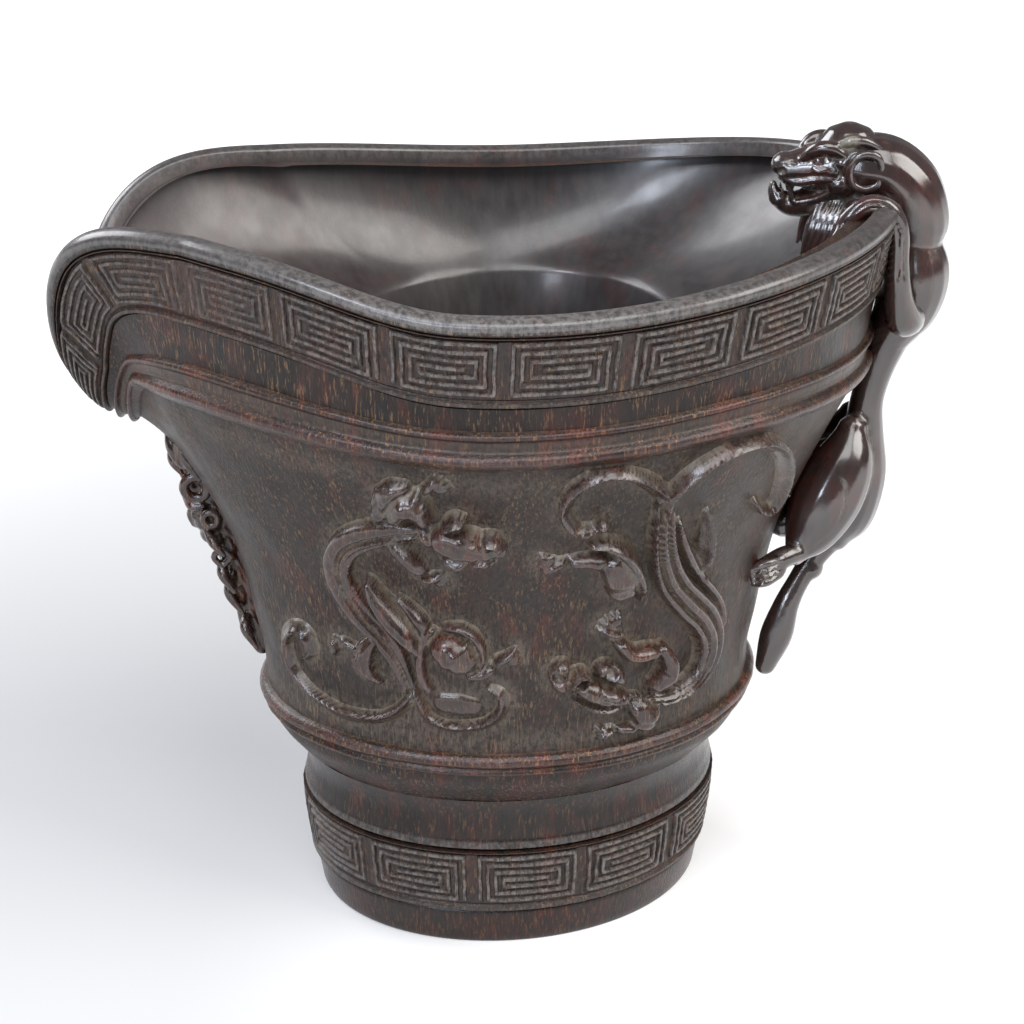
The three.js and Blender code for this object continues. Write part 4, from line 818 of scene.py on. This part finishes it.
# Each form: its route in degrees round the wall and wall level, its half widths and its heights
# in mm along that route, and where it has them its cross section and its grooves (place across
# it, depth). Each pit: degrees, level, radius, depth.
SPOUT_CHILONG = [
    ([(-97, .86), (-101, .858), (-105, .849), (-109, .835), (-113, .813), (-116, .782),
      (-117.3, .748), (-116.7, .714), (-114.5, .68), (-111.3, .65), (-108.4, .618),
      (-106.3, .578), (-105.4, .544), (-105, .516)],
     [1.4, 2.2, 2.6, 2.7, 2.7, 2.6, 2.5, 2.5, 2.5, 2.3, 1.9, 1.4, 1.1, .9],
     [1.3, 1.8, 2.0, 2.1, 2.1, 2.0, 1.7], "flat", [(.12, .8), (.66, .55)]),
    ([(-103.5, .82), (-101.7, .811), (-100.2, .795), (-99.2, .78)], [1.5, 1.6, 1.4, 1.0],
     [1.5, 2.3, 2.3, 1.7]),
    *paw(-99.2, .766, 0, 4, 4.2, 60),
    ([(-104.6, .889), (-102.8, .921), (-100.8, .942), (-99.2, .949)], [1.6, 2.2, 2.0, 1.2],
     [1.8, 2.5, 2.5, 1.8]),
    ([(-104.6, .899), (-104.2, .921), (-103.8, .94)], [.8, .7, .3], [2.1, 2.2, 1.3]),
    ([(-101.7, .894), (-99.2, .92), (-97.5, .919), (-96.9, .894)], [1.6, 2.2, 2.0, 1.3],
     [2.4, 3.3, 3.3, 2.4]),
    ([(-97.9, .929), (-96.8, .94), (-95.8, .949)], [1.0, 1.0, .9], [2.6, 2.3, 2.0]),
    *paw(-95.8, .948, 35, 4, 4.2, 70),
    ([(-97.5, .857), (-96.3, .851), (-94.9, .845)], [1.2, 1.5, 1.8], [1.9, 2.2, 2.4]),
    ([(-93.7, .855), (-91.7, .85), (-89.3, .845), (-87.1, .844), (-85.7, .842)],
     [2.6, 3.1, 2.8, 2.4, 1.9], [2.6, 3.0, 2.9, 2.6, 2.1], "flat"),
    ([(-94.1, .82), (-92.4, .815), (-90.7, .822)], [1.0, 1.2, .9], [2.6, 3.1, 2.6]),
    ([(-90.4, .871), (-89.1, .868), (-88.1, .856)], [.6, .8, .6], [3.5, 4.0, 3.4]),
    ([(-87.1, .865), (-85.8, .862), (-85.1, .847)], [.8, .9, .7], [3.1, 3.4, 2.6]),
    ([(-89.5, .817), (-87.6, .82), (-85.7, .826)], [.7, .8, .6], [2.5, 2.8, 2.2]),
    ([(-93.9, .88), (-93.1, .891), (-91.7, .9), (-90.4, .897)], [.5, .7, .7, .4],
     [2.6, 3.3, 3.0]),
    ([(-110.7, .746), (-109.8, .722), (-108, .696), (-105.7, .671), (-103.6, .649),
      (-102.3, .624)], [.7, 1.5, 2.0, 2.2, 2.0, 1.2], [2.3, 3.1, 3.5, 3.5, 2.8]),
    ([(-105.3, .718), (-103, .696), (-101, .67), (-100.6, .638)], [.6, 1.2, 1.3, .9],
     [1.4, 2.2, 2.0]),
    ([(-112.8, .626), (-114.7, .605), (-115.8, .582), (-115, .56), (-112.8, .546)],
     [1.0, 1.7, 1.9, 1.6, .9], [1.3, 2.0, 2.0, 1.4], "flat", [(-.45, .5)]),
    ([(-118, .601), (-120.2, .608), (-122.8, .603)], [.9, .8, .7], [1.2, 1.2, 1.0]),
    *paw(-122.8, .601, 245, 3, 3.0, 50, .5),
    ([(-96.9, .67), (-93.6, .671), (-90.9, .655), (-89.5, .627), (-90, .595), (-91.7, .567)],
     [.5, .8, .9, .9, .8, .5], [1.6, 1.9, 1.9, 1.5]),
    ([(-99.2, .661), (-101.3, .63), (-102.4, .597), (-102.1, .565), (-100.7, .545)],
     [.6, .9, 1.0, .9, .6], [1.7, 2.0, 1.7]),
    ([(-91.8, .582), (-89.5, .582), (-87.2, .597), (-85.7, .611)], [1.2, 1.1, 1.0, .9],
     [1.8, 1.7, 1.6]),
    *paw(-86.2, .606, 15, 4, 4.6, 62),
    ([(-96.2, .633), (-95, .625), (-93.9, .616)], [3.2, 3.7, 3.2], [3.4, 3.8, 3.4]),
    ([(-105.2, .52), (-108.7, .49), (-112.6, .471), (-116.5, .462), (-122.8, .457),
      (-129, .464), (-135.4, .48), (-140, .508), (-141, .545), (-139.9, .577), (-136, .602),
      (-132.1, .604), (-130.3, .585), (-130.7, .563), (-133.2, .547)],
     [1.1, 1.2, 1.2, 1.3, 1.4, 1.5, 1.5, 1.6, 1.6, 1.5, 1.3, 1.2, 1.0, .8, .6],
     [1.6, 1.6, 1.5, 1.6, 1.7, 1.6, 1.2], "-crest"),
    ([(-98.2, .514), (-94.9, .512), (-92.2, .51)], [2.0, 2.4, 2.0], [.7, .8, .7]),
    ([(-104.6, .53), (-103.7, .505), (-101.8, .481), (-98.1, .469), (-94, .469),
      (-89.5, .477), (-86.3, .496), (-85, .519), (-85.8, .541), (-88.1, .552)],
     [.9, 1.1, 1.2, 1.2, 1.2, 1.2, 1.2, 1.1, .9, .6], [1.6, 1.6, 1.6, 1.8, 1.6, 1.2], "crest"),
]
SPOUT_PITS = [(-91.8, .881, .8, 2.4), (-86.2, .856, .5, 1.4), (-88.5, .831, .45, 1.2)]
HANDLE_CHILONG = [
    ([(-53.7, .849), (-51.6, .809), (-48.3, .765), (-44.2, .723), (-39.9, .684),
      (-36.2, .643), (-34, .602)], [.7, 1.0, 1.1, 1.1, 1.1, 1.0, .8], [1.6, 2.2, 2.3, 2.3, 2.0]),
    ([(-58, .906), (-57, .849), (-55, .788), (-51.6, .732), (-46.5, .681), (-41.4, .637),
      (-37.7, .588), (-37.2, .539), (-40.3, .504), (-45.8, .49), (-52.1, .494), (-58, .507)],
     [1.7, 2.0, 2.4, 2.9, 3.1, 3.0, 2.7, 2.3, 2.0, 1.7, 1.4, 1.1],
     [2.2, 2.4, 2.6, 2.8, 2.8, 2.6, 2.4, 2.2, 2.0, 1.8], "flat", [(-.4, .95), (.32, .95)]),
    ([(-48, .855), (-47.1, .822), (-46.3, .788), (-44.9, .757), (-45.1, .731)],
     [.7, 1.3, 1.5, 1.2, .6], [1.6, 2.6, 2.8, 2.2, 1.5], "crest"),
    ([(-57.7, .897), (-59.3, .92), (-62, .945), (-64.6, .962), (-67.6, .973), (-70.3, .97),
      (-72.7, .954), (-74.2, .93), (-74.5, .906), (-73.2, .88), (-71.1, .869), (-69.3, .873)],
     [1.4, 1.6, 1.6, 1.5, 1.5, 1.5, 1.5, 1.4, 1.3, 1.2, 1.0, .9],
     [2.2, 2.4, 2.3, 2.2, 2.1, 2.0, 2.0, 1.8], "-crest"),
    ([(-68.6, .88), (-68.4, .882)], [.95, .95], [2.4, 2.4]),
    ([(-56.9, .896), (-55.9, .924), (-53.5, .95), (-50, .967), (-45.7, .974), (-41.2, .968),
      (-36.3, .945), (-32.1, .908), (-28.9, .865), (-27.7, .83), (-28.4, .811), (-32, .82),
      (-35.3, .843)],
     [1.4, 1.6, 1.5, 1.4, 1.4, 1.5, 1.5, 1.5, 1.4, 1.2, 1.0, .9, .8],
     [2.2, 2.4, 2.3, 2.1, 2.0, 2.0, 1.9, 1.6], "crest"),
    ([(-67.4, .803), (-70, .806), (-72.5, .805), (-74.7, .807)], [1.7, 1.3, 1.0, .9],
     [2.5, 2.0, 1.7, 1.5]),
    *paw(-74.7, .803, 180, 4, 4.4, 76),
    ([(-64, .79), (-62.9, .769), (-62.7, .748)], [3.2, 3.4, 2.9], [3.0, 3.3, 2.7], "flat"),
    ([(-69.7, .839), (-66.9, .839), (-64, .822), (-61.2, .788), (-59.1, .748), (-58.8, .715)],
     [.6, .9, 1.1, 1.1, .9, .5], [2.0, 2.9, 3.4, 3.4, 2.4]),
    ([(-50.9, .593), (-55, .597), (-58.4, .6), (-61, .622), (-61.9, .64)],
     [1.2, 1.5, 1.5, 1.2, 1.0], [2.3, 2.6, 2.5, 2.1, 1.8]),
    *paw(-61.9, .641, 122, 5, 4.8, 100, .66),
    ([(-51.3, .529), (-49.5, .546), (-49.1, .569), (-51, .597)], [1.6, 1.9, 1.7, 1.1],
     [2.6, 3.4, 3.2, 2.2]),
    ([(-59.6, .513), (-63.1, .527), (-66.5, .54), (-69.3, .552)], [1.5, 2.0, 2.1, 1.7],
     [2.4, 3.0, 3.0, 2.4]),
    ([(-73.2, .559), (-73.7, .576), (-73.4, .591)], [1.7, 1.9, 1.6], [2.2, 2.7, 2.3]),
    ([(-64.6, .58), (-62.7, .573), (-61, .56)], [1.5, 1.8, 1.4], [2.7, 3.1, 2.5]),
    ([(-69.9, .524), (-66.6, .507), (-63.2, .498), (-59.9, .499)], [.6, .8, .9, .7],
     [1.9, 2.2, 2.3, 1.9]),
    ([(-70.8, .547), (-71.4, .564), (-70.5, .579), (-68.8, .581), (-67.2, .569)],
     [.5, .6, .6, .6, .5], [3.0, 3.5, 3.5, 2.8]),
    ([(-64, .539), (-62.5, .536), (-61.5, .527)], [1.2, 1.3, 1.0], [3.6, 3.8, 3.2]),
    ([(-55.8, .442), (-58.9, .445), (-61.3, .445)], [1.1, .9, .8], [1.7, 1.5, 1.4]),
    *paw(-61.3, .445, 180, 3, 3.6, 56, .52),
    ([(-54.3, .48), (-52.7, .464), (-52.6, .454)], [2.2, 2.8, 2.4], [2.3, 2.8, 2.4]),
]
HANDLE_PITS = [(-74.1, .576, 1.0, 2.2), (-63.3, .577, 1.0, 2.2), (-69.3, .56, .6, 1.6)]
# The far side isn't seen and mirrors the near one.
for view_side, mirror in (("front", 1), ("back", -1)):
    relief(view_side + "_spout", SPOUT_CHILONG, SPOUT_PITS, mirror, (-145, -77), (.425, .985))
    relief(view_side + "_handle", HANDLE_CHILONG, HANDLE_PITS, mirror, (-82, -22), (.422, .986))

# Carving under the spout: a beast mask between scrolls, with a crest above and a budded stem
# below, cut in high relief from the same horn. Forms are fused into one skin and lines cut in.
LEAST_RADIUS = .15
END_ANGLES = (28, 55, 80)      # degrees, of the rings that round off a limb's end


def tube(points, radii, flatten=1.0, sides=16):
    """A limb with round ends through points in mm. Flatten squeezes it along Y."""
    steps = max(6, 6 * (len(points) - 1))
    path = spline(points, steps)
    if len(radii) < 3:
        radii = [radii[0], (radii[0] + radii[-1]) / 2, radii[-1]]
    radius = np.maximum(spline([(r, 0) for r in radii], steps)[:, 0], LEAST_RADIUS)
    run = np.gradient(path, axis=0)
    run /= np.linalg.norm(run, axis=1)[:, None]
    side = np.cross(run[0], [0, 1, 0.013])
    around = np.linspace(0, 2 * math.pi, sides, endpoint=False)
    rings = []
    for angle, k in ([(-a, 0) for a in END_ANGLES[::-1]] + [(0, k) for k in range(steps + 1)]
                     + [(a, steps) for a in END_ANGLES]):
        side = side - run[k] * (side @ run[k])
        side /= np.linalg.norm(side)
        other = np.cross(run[k], side)
        ring = np.cos(around)[:, None] * side + np.sin(around)[:, None] * other
        ring = ring * radius[k] * math.cos(math.radians(angle))
        ring[:, 1] *= flatten
        rings.append(path[k] + run[k] * radius[k] * math.sin(math.radians(angle)) + ring)
    return capped(np.array(rings), rings[0].mean(0), rings[-1].mean(0))


def ball(centre, radii):
    """An ellipsoid."""
    points, faces = tube([(0, 0, -.001), (0, 0, 0), (0, 0, .001)], [1], sides=20)
    return points * radii + np.array(centre), faces


def hoop(centre, radius, thick, corners=8):
    """A ring that stands in the plane of X and Z."""
    angles = np.linspace(0, 2 * math.pi, corners + 1)
    return tube([(centre[0] + radius * math.cos(a), centre[1], centre[2] + radius * math.sin(a))
                 for a in angles], [thick])


def beside(side, route, lean=0.0):
    """A point or route given for +Y, on either side of the middle. Lean moves it along X."""
    return np.array(route) * (1, side, 1) + np.multiply.outer(lean, (1, 0, 0))


def fused(name, nodes, forms, cuts, pits, voxel, finish, slot, pale=(), drop=0.0):
    """Fuses closed forms into one skin, cuts grooves along routes and sinks pits into it. Pale
    spots hold dust. Drop lowers all of it."""
    lower = np.array([0, 0, drop])
    faces, start = [], 0
    for form_points, form_faces in forms:
        faces += [[k + start for k in face] for face in form_faces]
        start += len(form_points)
    points = np.concatenate([form_points for form_points, _ in forms]) - lower
    block = selected(name + "_rough", points / 1000, faces)
    fuse = block.modifiers.new("fuse", "REMESH")
    fuse.mode = "VOXEL"
    fuse.voxel_size = voxel / 1000
    soften = block.modifiers.new("soften", "SMOOTH")
    soften.factor = .5
    soften.iterations = 4
    for modifier in ("fuse", "soften"):
        bpy.ops.object.modifier_apply(modifier=modifier)
    mesh = block.data
    count = len(mesh.vertices)
    skin, normals = np.zeros(count * 3), np.zeros(count * 3)
    mesh.vertices.foreach_get("co", skin)
    mesh.vertices.foreach_get("normal", normals)
    skin, normals = skin.reshape(-1, 3) * 1000, normals.reshape(-1, 3)
    faces = [tuple(face.vertices) for face in mesh.polygons]
    pairs = np.zeros(len(mesh.edges) * 2, int)
    mesh.edges.foreach_get("vertices", pairs)
    pairs = pairs.reshape(-1, 2)
    bpy.ops.object.delete()

    sunk = np.zeros(count)
    for route, width, depth in cuts:
        keep, gap, _, where = near_route(skin, normals, spline(route, 6 * len(route)) - lower,
                                         3 * width)
        taper = np.clip(np.minimum(where, 1 - where) * 6 + .2, 0, 1)
        sunk[keep] = np.maximum(sunk[keep], depth * taper * bell(gap, 0, width))
    for centre, radius, depth in pits:
        gap = np.linalg.norm(skin - (centre - lower), axis=1)
        sunk = np.maximum(sunk, depth * bell(gap, 0, radius, 4))
    skin = skin - normals * sunk[:, None]

    # The skin evened out shows which points lie in a hollow and which stand out.
    broad = skin.copy()
    neighbours = np.bincount(pairs.ravel(), minlength=count)[:, None]
    for _ in range(10):
        total = np.zeros_like(broad)
        np.add.at(total, pairs[:, 0], broad[pairs[:, 1]])
        np.add.at(total, pairs[:, 1], broad[pairs[:, 0]])
        broad = total / neighbours
    hollow = ((broad - skin) * normals).sum(1)
    dust = np.clip(hollow * 3.2 + sunk * .5, 0, .85)
    for centre, radius in pale:
        gap = np.linalg.norm(skin - (centre - lower), axis=1)
        dust = np.maximum(dust, 1.4 * bell(gap, 0, radius, 4))
    marks = {"dust": dust, "wear": np.clip(-hollow * 2 - .12, 0, .3), "red": np.full(count, .18)}
    carved_piece(name, skin, faces, [finish], slot, nodes, marks, sharp=60)


# Forms on the middle plane, from the crest down to the bud, then those given for one side.
carving = [
    tube([(-58.6, 0, 87), (-57, 0, 84), (-56, 0, 80), (-54, 0, 74.6)], [1.2, 1.6, 2.1, 2.2]),
    tube([(-57.4, 0, 84.4), (-53, 0, 77.4), (-49.8, 0, 71), (-47, 0, 64), (-45.2, 0, 57),
          (-43.9, 0, 49.6), (-43, 0, 43.6)], [1.8, 2.8, 3.2, 2.8, 2.6, 2.4, 1.6]),
    ball((-51.8, 0, 69.2), (3.6, 4.2, 3.9)),
    tube([(-54.4, 0, 71), (-55, 0, 69), (-54.6, 0, 67.2)], [.9, 1.2, 1.0]),
    ball((-51.2, 0, 65.4), (2.9, 3.2, 2.0)),
    tube([(-50.6, 0, 65), (-48.8, 0, 60.6), (-48, 0, 57)], [2.4, 1.9, 2.1]),
    ball((-47.5, 0, 54.4), (2.7, 2.9, 3.5)),
    tube([(-46.6, 0, 51.6), (-45.7, 0, 47), (-44.1, 0, 43.2)], [1.9, 2.0, 1.5]),
]
CURLS = [
    ([(-57.8, 2.6, 86), (-57, 5, 83.6), (-55.4, 5.8, 81), (-54, 5, 79.2)], [.9, 1.35, 1.2, .5]),
    ([(-57.6, 1.6, 82.4), (-57.2, 3.8, 80.6), (-56, 4.8, 78.6)], [.9, 1.1, .5]),
    ([(-56.2, 6.6, 84.6), (-54.2, 7, 81), (-52.6, 6.6, 78)], [.6, .95, .5]),
    ([(-55.6, 3.6, 73.8), (-54.4, 5.4, 72.6), (-52.4, 6, 72.9)], [.7, .8, .4]),
    ([(-52.2, 3.4, 67), (-51, 5.2, 65.6), (-49.2, 6, 63.6)], [.8, .95, .4]),
    ([(-49.8, 1.8, 61), (-49.8, 4.2, 59.4), (-47.8, 5.4, 56.4)], [.8, 1.1, .5]),
    ([(-48.4, 2, 58.4), (-49, 3.2, 55.2), (-46.6, 3.8, 51.2)], [.7, 1.0, .4]),
    ([(-46.2, 1.4, 50.4), (-46.4, 3.8, 48.6), (-44.4, 4.9, 45)], [.7, 1.05, .4]),
]
BROW_AND_EYE = [((-54, 2.3, 71.4), (1.3, 1.4, 1.0)), ((-54.5, 2.3, 69.7), (.8, .9, .8))]
RINGS = [((-53.6, 4.9, 75.9), 2.0, .95), ((-51.4, 4.9, 70), 1.25, .65),
         ((-49.8, 3.9, 62.4), 1.5, .6, 4)]
LINES = [
    ([(-55, .4, 66.4), (-53.8, 2.6, 66), (-51.6, 3.9, 66.8)], .28, .6),
    ([(-56.6, 5.9, 83.4), (-55.2, 6.9, 81)], .25, .35),
    ([(-57.6, 3.2, 85), (-57.4, 4.8, 83)], .25, .35),
    ([(-49.9, 1.6, 57), (-49.7, 2.2, 53.6)], .28, .4),
]
carved_lines = [([(-58.8, 0, 85), (-58.2, 0, 80), (-56.2, 0, 75)], .35, .55),
                ([(-50.4, 0, 57.6), (-50.6, 0, 54.4), (-49, 0, 51.6)], .3, .45)]
pupils = []
for side in (-1, 1):
    carving += [tube(beside(side, route), radii) for route, radii in CURLS]
    carving += [ball(beside(side, centre), radii) for centre, radii in BROW_AND_EYE]
    carving += [hoop(beside(side, centre), *size) for centre, *size in RINGS]
    carved_lines += [(beside(side, route), width, depth) for route, width, depth in LINES]
    pupils.append((beside(side, (-55.2, 2.5, 69.7)), .45, .4))
fused("spout_carving", ["spout_carving_crest", "spout_carving_mask", "spout_carving_stem"],
      carving, carved_lines, pupils, .27, relief_horn, "carved_horn")

# Handle dragon: a chilong that climbs the end wall and bites over the rim. Limbs and balls of
# the form are fused into one skin and the hair, folds and claws are cut in with a fine tool.
# The dragon is handled most, so it is almost black and shines.
handled_horn = horn_finish("horn polished by handling", "#1b1615", "#2a201d", "#5e4330",
                           "#7a7364", flecks=.15, dusty=.8, rough=.2, streak=.7, tooth=.12,
                           coat=1.0, ior=1.65)
# Neck, shoulders, waist, rump and tail with its knot, then struts to the wall at the thighs,
# the rump and the shoulders.
torso = [
    tube([(57, 0, 131.2), (61.5, 0, 130.4), (65.2, 0, 127), (67.2, 0, 122.4), (67.4, 0, 119.6)],
         [5.4, 5.8, 6.0, 5.6, 4.9], 1.08),
    tube([(67, 0, 117.6), (67.6, 0, 113), (66.6, 0, 107.4), (64.2, 0, 102.4)],
         [4.9, 5.9, 5.5, 4.0], 1.1),
    tube([(64.2, 0, 103), (62.2, 0, 96), (61, 0, 90), (60.7, 0, 84)], [4, 3.1, 2.9, 3.6], 1.05),
    tube([(60.6, 0, 84), (60, 0, 77), (58.4, 0, 69.6), (56.6, 0, 65.6)], [3.8, 5.2, 5.2, 3.6]),
    tube([(56.4, 0, 66), (53.2, -1.6, 61.4), (50.6, -3, 57.4), (48.6, -4, 53.4),
          (47, -4.4, 47.6), (45.4, -4.2, 41.6)], [3.4, 2.3, 2.0, 2.3, 2.9, 1.9], .8),
    ball((52.6, -1.4, 59.4), (2.5, 2.8, 2.3)),
    tube([(59.6, 0, 80), (55.6, 0, 78.4), (51, 0, 77)], [4.6, 4.8, 4.4]),
    tube([(58.4, 0, 72), (54, 0, 70), (48, 0, 68)], [4.4, 4.0, 3.4]),
    tube([(66, 0, 112), (61, 0, 112), (57, 0, 111)], [3.2, 3.0, 3.0]),
]
folds = [([(59.5, k * 1.3, 136.4), (65.2, k * 1.6, 133.2), (70, k * 1.7, 127.4)], .3, .16)
         for k in range(-2, 3)]
# The wall is skewed, so the legs on the far side stand a little further out.
for side, lean in ((-1, 0), (1, 2.0)):
    thigh = [(58.2, 3.6, 86), (57, 5.0, 81), (54.4, 6.2, 75), (51.4, 7.8, 69), (48.8, 9.8, 65.6)]
    torso += [
        tube(beside(side, thigh, lean * np.array([.5, .5, 1, 1, 1])), [2.6, 5.2, 6.2, 4.8, 2.0],
             .84),
        tube(beside(side, [(50, 9.8, 66), (46.8, 11.8, 66), (43.6, 13.2, 64.8)], lean),
             [1.6, 1.9, 1.8]),
        ball(beside(side, (43.8, 13.4, 64.4), lean), (3.4, 1.5, 2.2)),
    ]
    torso += [tube(beside(side, [(46, 13.4, 66.2 - .9 * k), (43.4, 15, 66.2 - 1.15 * k),
                                 (40.6 + .25 * k, 14.6, 65.2 - 1.0 * k)], lean), [.75, .85, .5])
              for k in range(4)]
    folds += [
        (beside(side, [(72.9, 0, 118.6), (71, 4, 118.4), (67, 6.3, 118.6), (63.4, 5, 118.2)]),
         .42, .9),
        (beside(side, [(70.2, 0, 102.8), (68, 4, 101.6), (63.4, 4.6, 100.6)]), .4, .7),
        (beside(side, [(62.4, 4, 84), (62.6, 5.4, 77), (60, 7, 70.6), (55.4, 7.8, 65.6)]), .4, .7),
        (beside(side, [(53.4, 10.2, 83), (56.6, 10.6, 78), (55.4, 11.6, 71), (50.8, 11.4, 66.6)],
                lean), .3, .28),
    ]
    folds += [(beside(side, [(46.6, 14.4, 66 - .95 * k), (43.6, 15.6, 65.6 - 1.1 * k),
                             (41, 15.2, 64.6 - 1.05 * k)], lean), .26, .6) for k in range(3)]
fused("handle_dragon", ["handle_chilong_body", "handle_chilong_hindleg_front",
                        "handle_chilong_hindleg_back", "handle_chilong_tail"], torso, folds,
      [], .34, handled_horn, "polished_horn")

# Forelegs: each goes up from the shoulder and over the rim, where its three toes grip.
FORELEG = [(53.2, 9, 122.4), (54.8, 9, 124.9), (57.8, 9, 126.9), (61, 9, 126.2),
           (62.9, 9, 122.8), (63.3, 9, 117.4), (63.8, 8.4, 111.4), (65, 6.8, 107.2),
           (66, 4.6, 106.4)]
FORELEG_LEAN = np.array([1, 1, 1, 1, 1, 1, 1, .6, 0])
for side, lean, label in ((-1, 0, "front"), (1, 2.16, "back")):
    limbs = [tube(beside(side, FORELEG, lean * FORELEG_LEAN),
                  [1.0, 1.5, 1.7, 1.8, 1.8, 1.8, 2.3, 3.0, 3.2], .95)]
    limbs += [tube(beside(side, [(53.8, 9 + .7 * k, 123.6), (52.4, 9 + 1.1 * k, 121.4),
                                 (51.6, 9 + 1.3 * k, 119.8)], lean), [.75, .7, .3])
              for k in (-1, 0, 1)]
    lines = [(beside(side, [(55, 9 + out, 125 + up), (58, 9 + out, 127 + up),
                            (61, 9 + out, 126.2 + up * .8), (62.9 + up, 9 + out, 122.6),
                            (63.3 + up, 9 + out, 116), (64 + up, 8.6, 110)], lean), .24, .38)
             for out, up in ((1.5, .75), (1.7, -.25))]
    fused(f"handle_foreleg_{label}", [f"handle_chilong_foreleg_{label}"], limbs, lines, [], .3,
          handled_horn, "polished_horn")

# Head: cranium, muzzle and nose, lower jaw with its chin, and the throat.
HEAD_DROP = 1.0                # the head sits this much lower than its points say
head = [
    ball((55.4, 0, 133.4), (6.0, 5.2, 5.9)), ball((59.2, 0, 131.8), (4.8, 4.9, 4.9)),
    tube([(53, 0, 132), (49, 0, 131.8), (46.4, 0, 131.6)], [4.4, 3.5, 2.9], 1.1),
    ball((45.3, 0, 132.2), (2.5, 2.7, 2.2)),
    tube([(54.6, 0, 128.4), (50.4, 0, 126.4), (46.6, 0, 125.6), (44.2, 0, 126.6)],
         [3.2, 2.5, 2.1, 1.5], 1.1),
    tube([(44.2, 0, 126.6), (43.5, 0, 128), (43.4, 0, 129)], [1.5, 1.0, .6], 1.3),
    tube([(57, 0, 127.6), (55, 0, 124), (53.4, 0, 120.4)], [3.6, 3.4, 3.0], 1.3),
]
# For one side: nostril, eye, cheek and ear, then brow, lid, lip, two fangs, jaw, the ear's
# rim and the lock of hair above it.
HEAD_BALLS = [((44.8, 1.7, 131.6), (1.15, .9, 1.1)), ((50.5, 3.0, 133.5), (1.35, 1.0, 1.2)),
              ((54.2, 3.6, 129.8), (2.6, 1.7, 2.1)), ((57.6, 4.4, 132.4), (2.3, .9, 2.4))]
HEAD_LIMBS = [
    ([(47.6, 2.3, 133.6), (49.6, 3.2, 135.5), (52, 3.8, 135.9), (54.2, 4.2, 134.8)],
     [.7, 1.15, 1.2, .7]),
    ([(48.6, 2.9, 132.8), (50.2, 3.9, 132.1), (52.4, 4.1, 132.6)], [.4, .55, .4]),
    ([(44.9, 2.0, 130.4), (47.2, 2.8, 130.0), (49.8, 3.5, 130.6), (52.6, 4.1, 130.8)],
     [.55, .7, .75, .6]),
    ([(45.9, 1.6, 130), (46.2, 1.8, 127.6), (46.8, 2.1, 126)], [.6, .5, .3]),
    ([(44.9, 1.5, 126.6), (44.7, 1.7, 128.6)], [.5, .25]),
    ([(47, 2.2, 126.4), (50, 3.0, 127.2), (53, 3.9, 129)], [.5, .6, .6]),
    ([(60.2, 5.2, 132.6), (59.4, 5.7, 134.8), (57.4, 5.8, 135.4), (55.6, 5.6, 134.4),
      (55, 5.4, 132.2), (55.8, 5.3, 130.2), (57.8, 5.3, 129.4), (59.6, 5.3, 130.4),
      (60.2, 5.2, 132.6)], [.75, .75]),
    ([(53.6, 4.0, 136.6), (55.4, 4.3, 137.2), (57.6, 4.2, 137), (59.8, 3.8, 135.8),
      (61.6, 3.2, 134)], [.7, .9, .85, .6, .4]),
]
head_lines, holes, pale = [], [], []
for side in (-1, 1):
    head += [ball(beside(side, centre), radii) for centre, radii in HEAD_BALLS]
    head += [tube(beside(side, route), radii) for route, radii in HEAD_LIMBS]
    # Teeth.
    head += [tube(beside(side, [(48.2 + 1.05 * k, 2.7 + .2 * k, 130 + .1 * k),
                                (48.2 + 1.05 * k, 2.8 + .2 * k, 128.9 + .1 * k)]), [.42, .26])
             for k in range(4)]
    # Locks of the beard and the lines between them.
    for back in np.arange(7) / 6:
        head.append(tube(beside(side, [
            (56.4 - 5.6 * back, 3.4 - 1.3 * back, 126.4 - .3 * back),
            (55.4 - 6 * back, 5.2 - 2 * back, 122.6 - .4 * back),
            (53.6 - 5.4 * back, 5.6 - 2.4 * back, 118.2 - .2 * back)]), [.9, .95, .3]))
        head_lines.append((beside(side, [(57.2 - 5 * back, 4.6 - 1.4 * back, 127),
                                         (55 - 5.6 * back, 6 - 2.2 * back, 121)]), .25, .35))
    # Hair behind the ear, and wrinkles by the nose and the cheek.
    head_lines += [(beside(side, [(60.4 + .3 * k, 4.9, 134.6 - 1.6 * k),
                                  (63.6 + .2 * k, 5.9, 132.6 - 2 * k),
                                  (65.6, 6, 129.6 - 2 * k)]), .26, .3) for k in range(4)]
    head_lines += [
        (beside(side, [(45.7, 2.4, 133.6), (47.2, 2.7, 132.2), (47, 2.9, 131)]), .25, .4),
        (beside(side, [(52.8, 4.1, 133.8), (53.6, 4.5, 132), (53, 4.6, 130.6)]), .28, .4),
    ]
    # Nostril and ear hole, and a patch of old dust above the ear.
    holes += [(beside(side, (44.3, 2.5, 131.7)), .55, .8),
              (beside(side, (57.6, 5.4, 132.4)), 1.7, .7)]
    pale.append((beside(side, (54.8, 4.9, 137.2)), 1.6))
fused("handle_dragon_head", ["handle_chilong_head"], head, head_lines, holes, .22, handled_horn,
      "polished_horn", pale, HEAD_DROP)
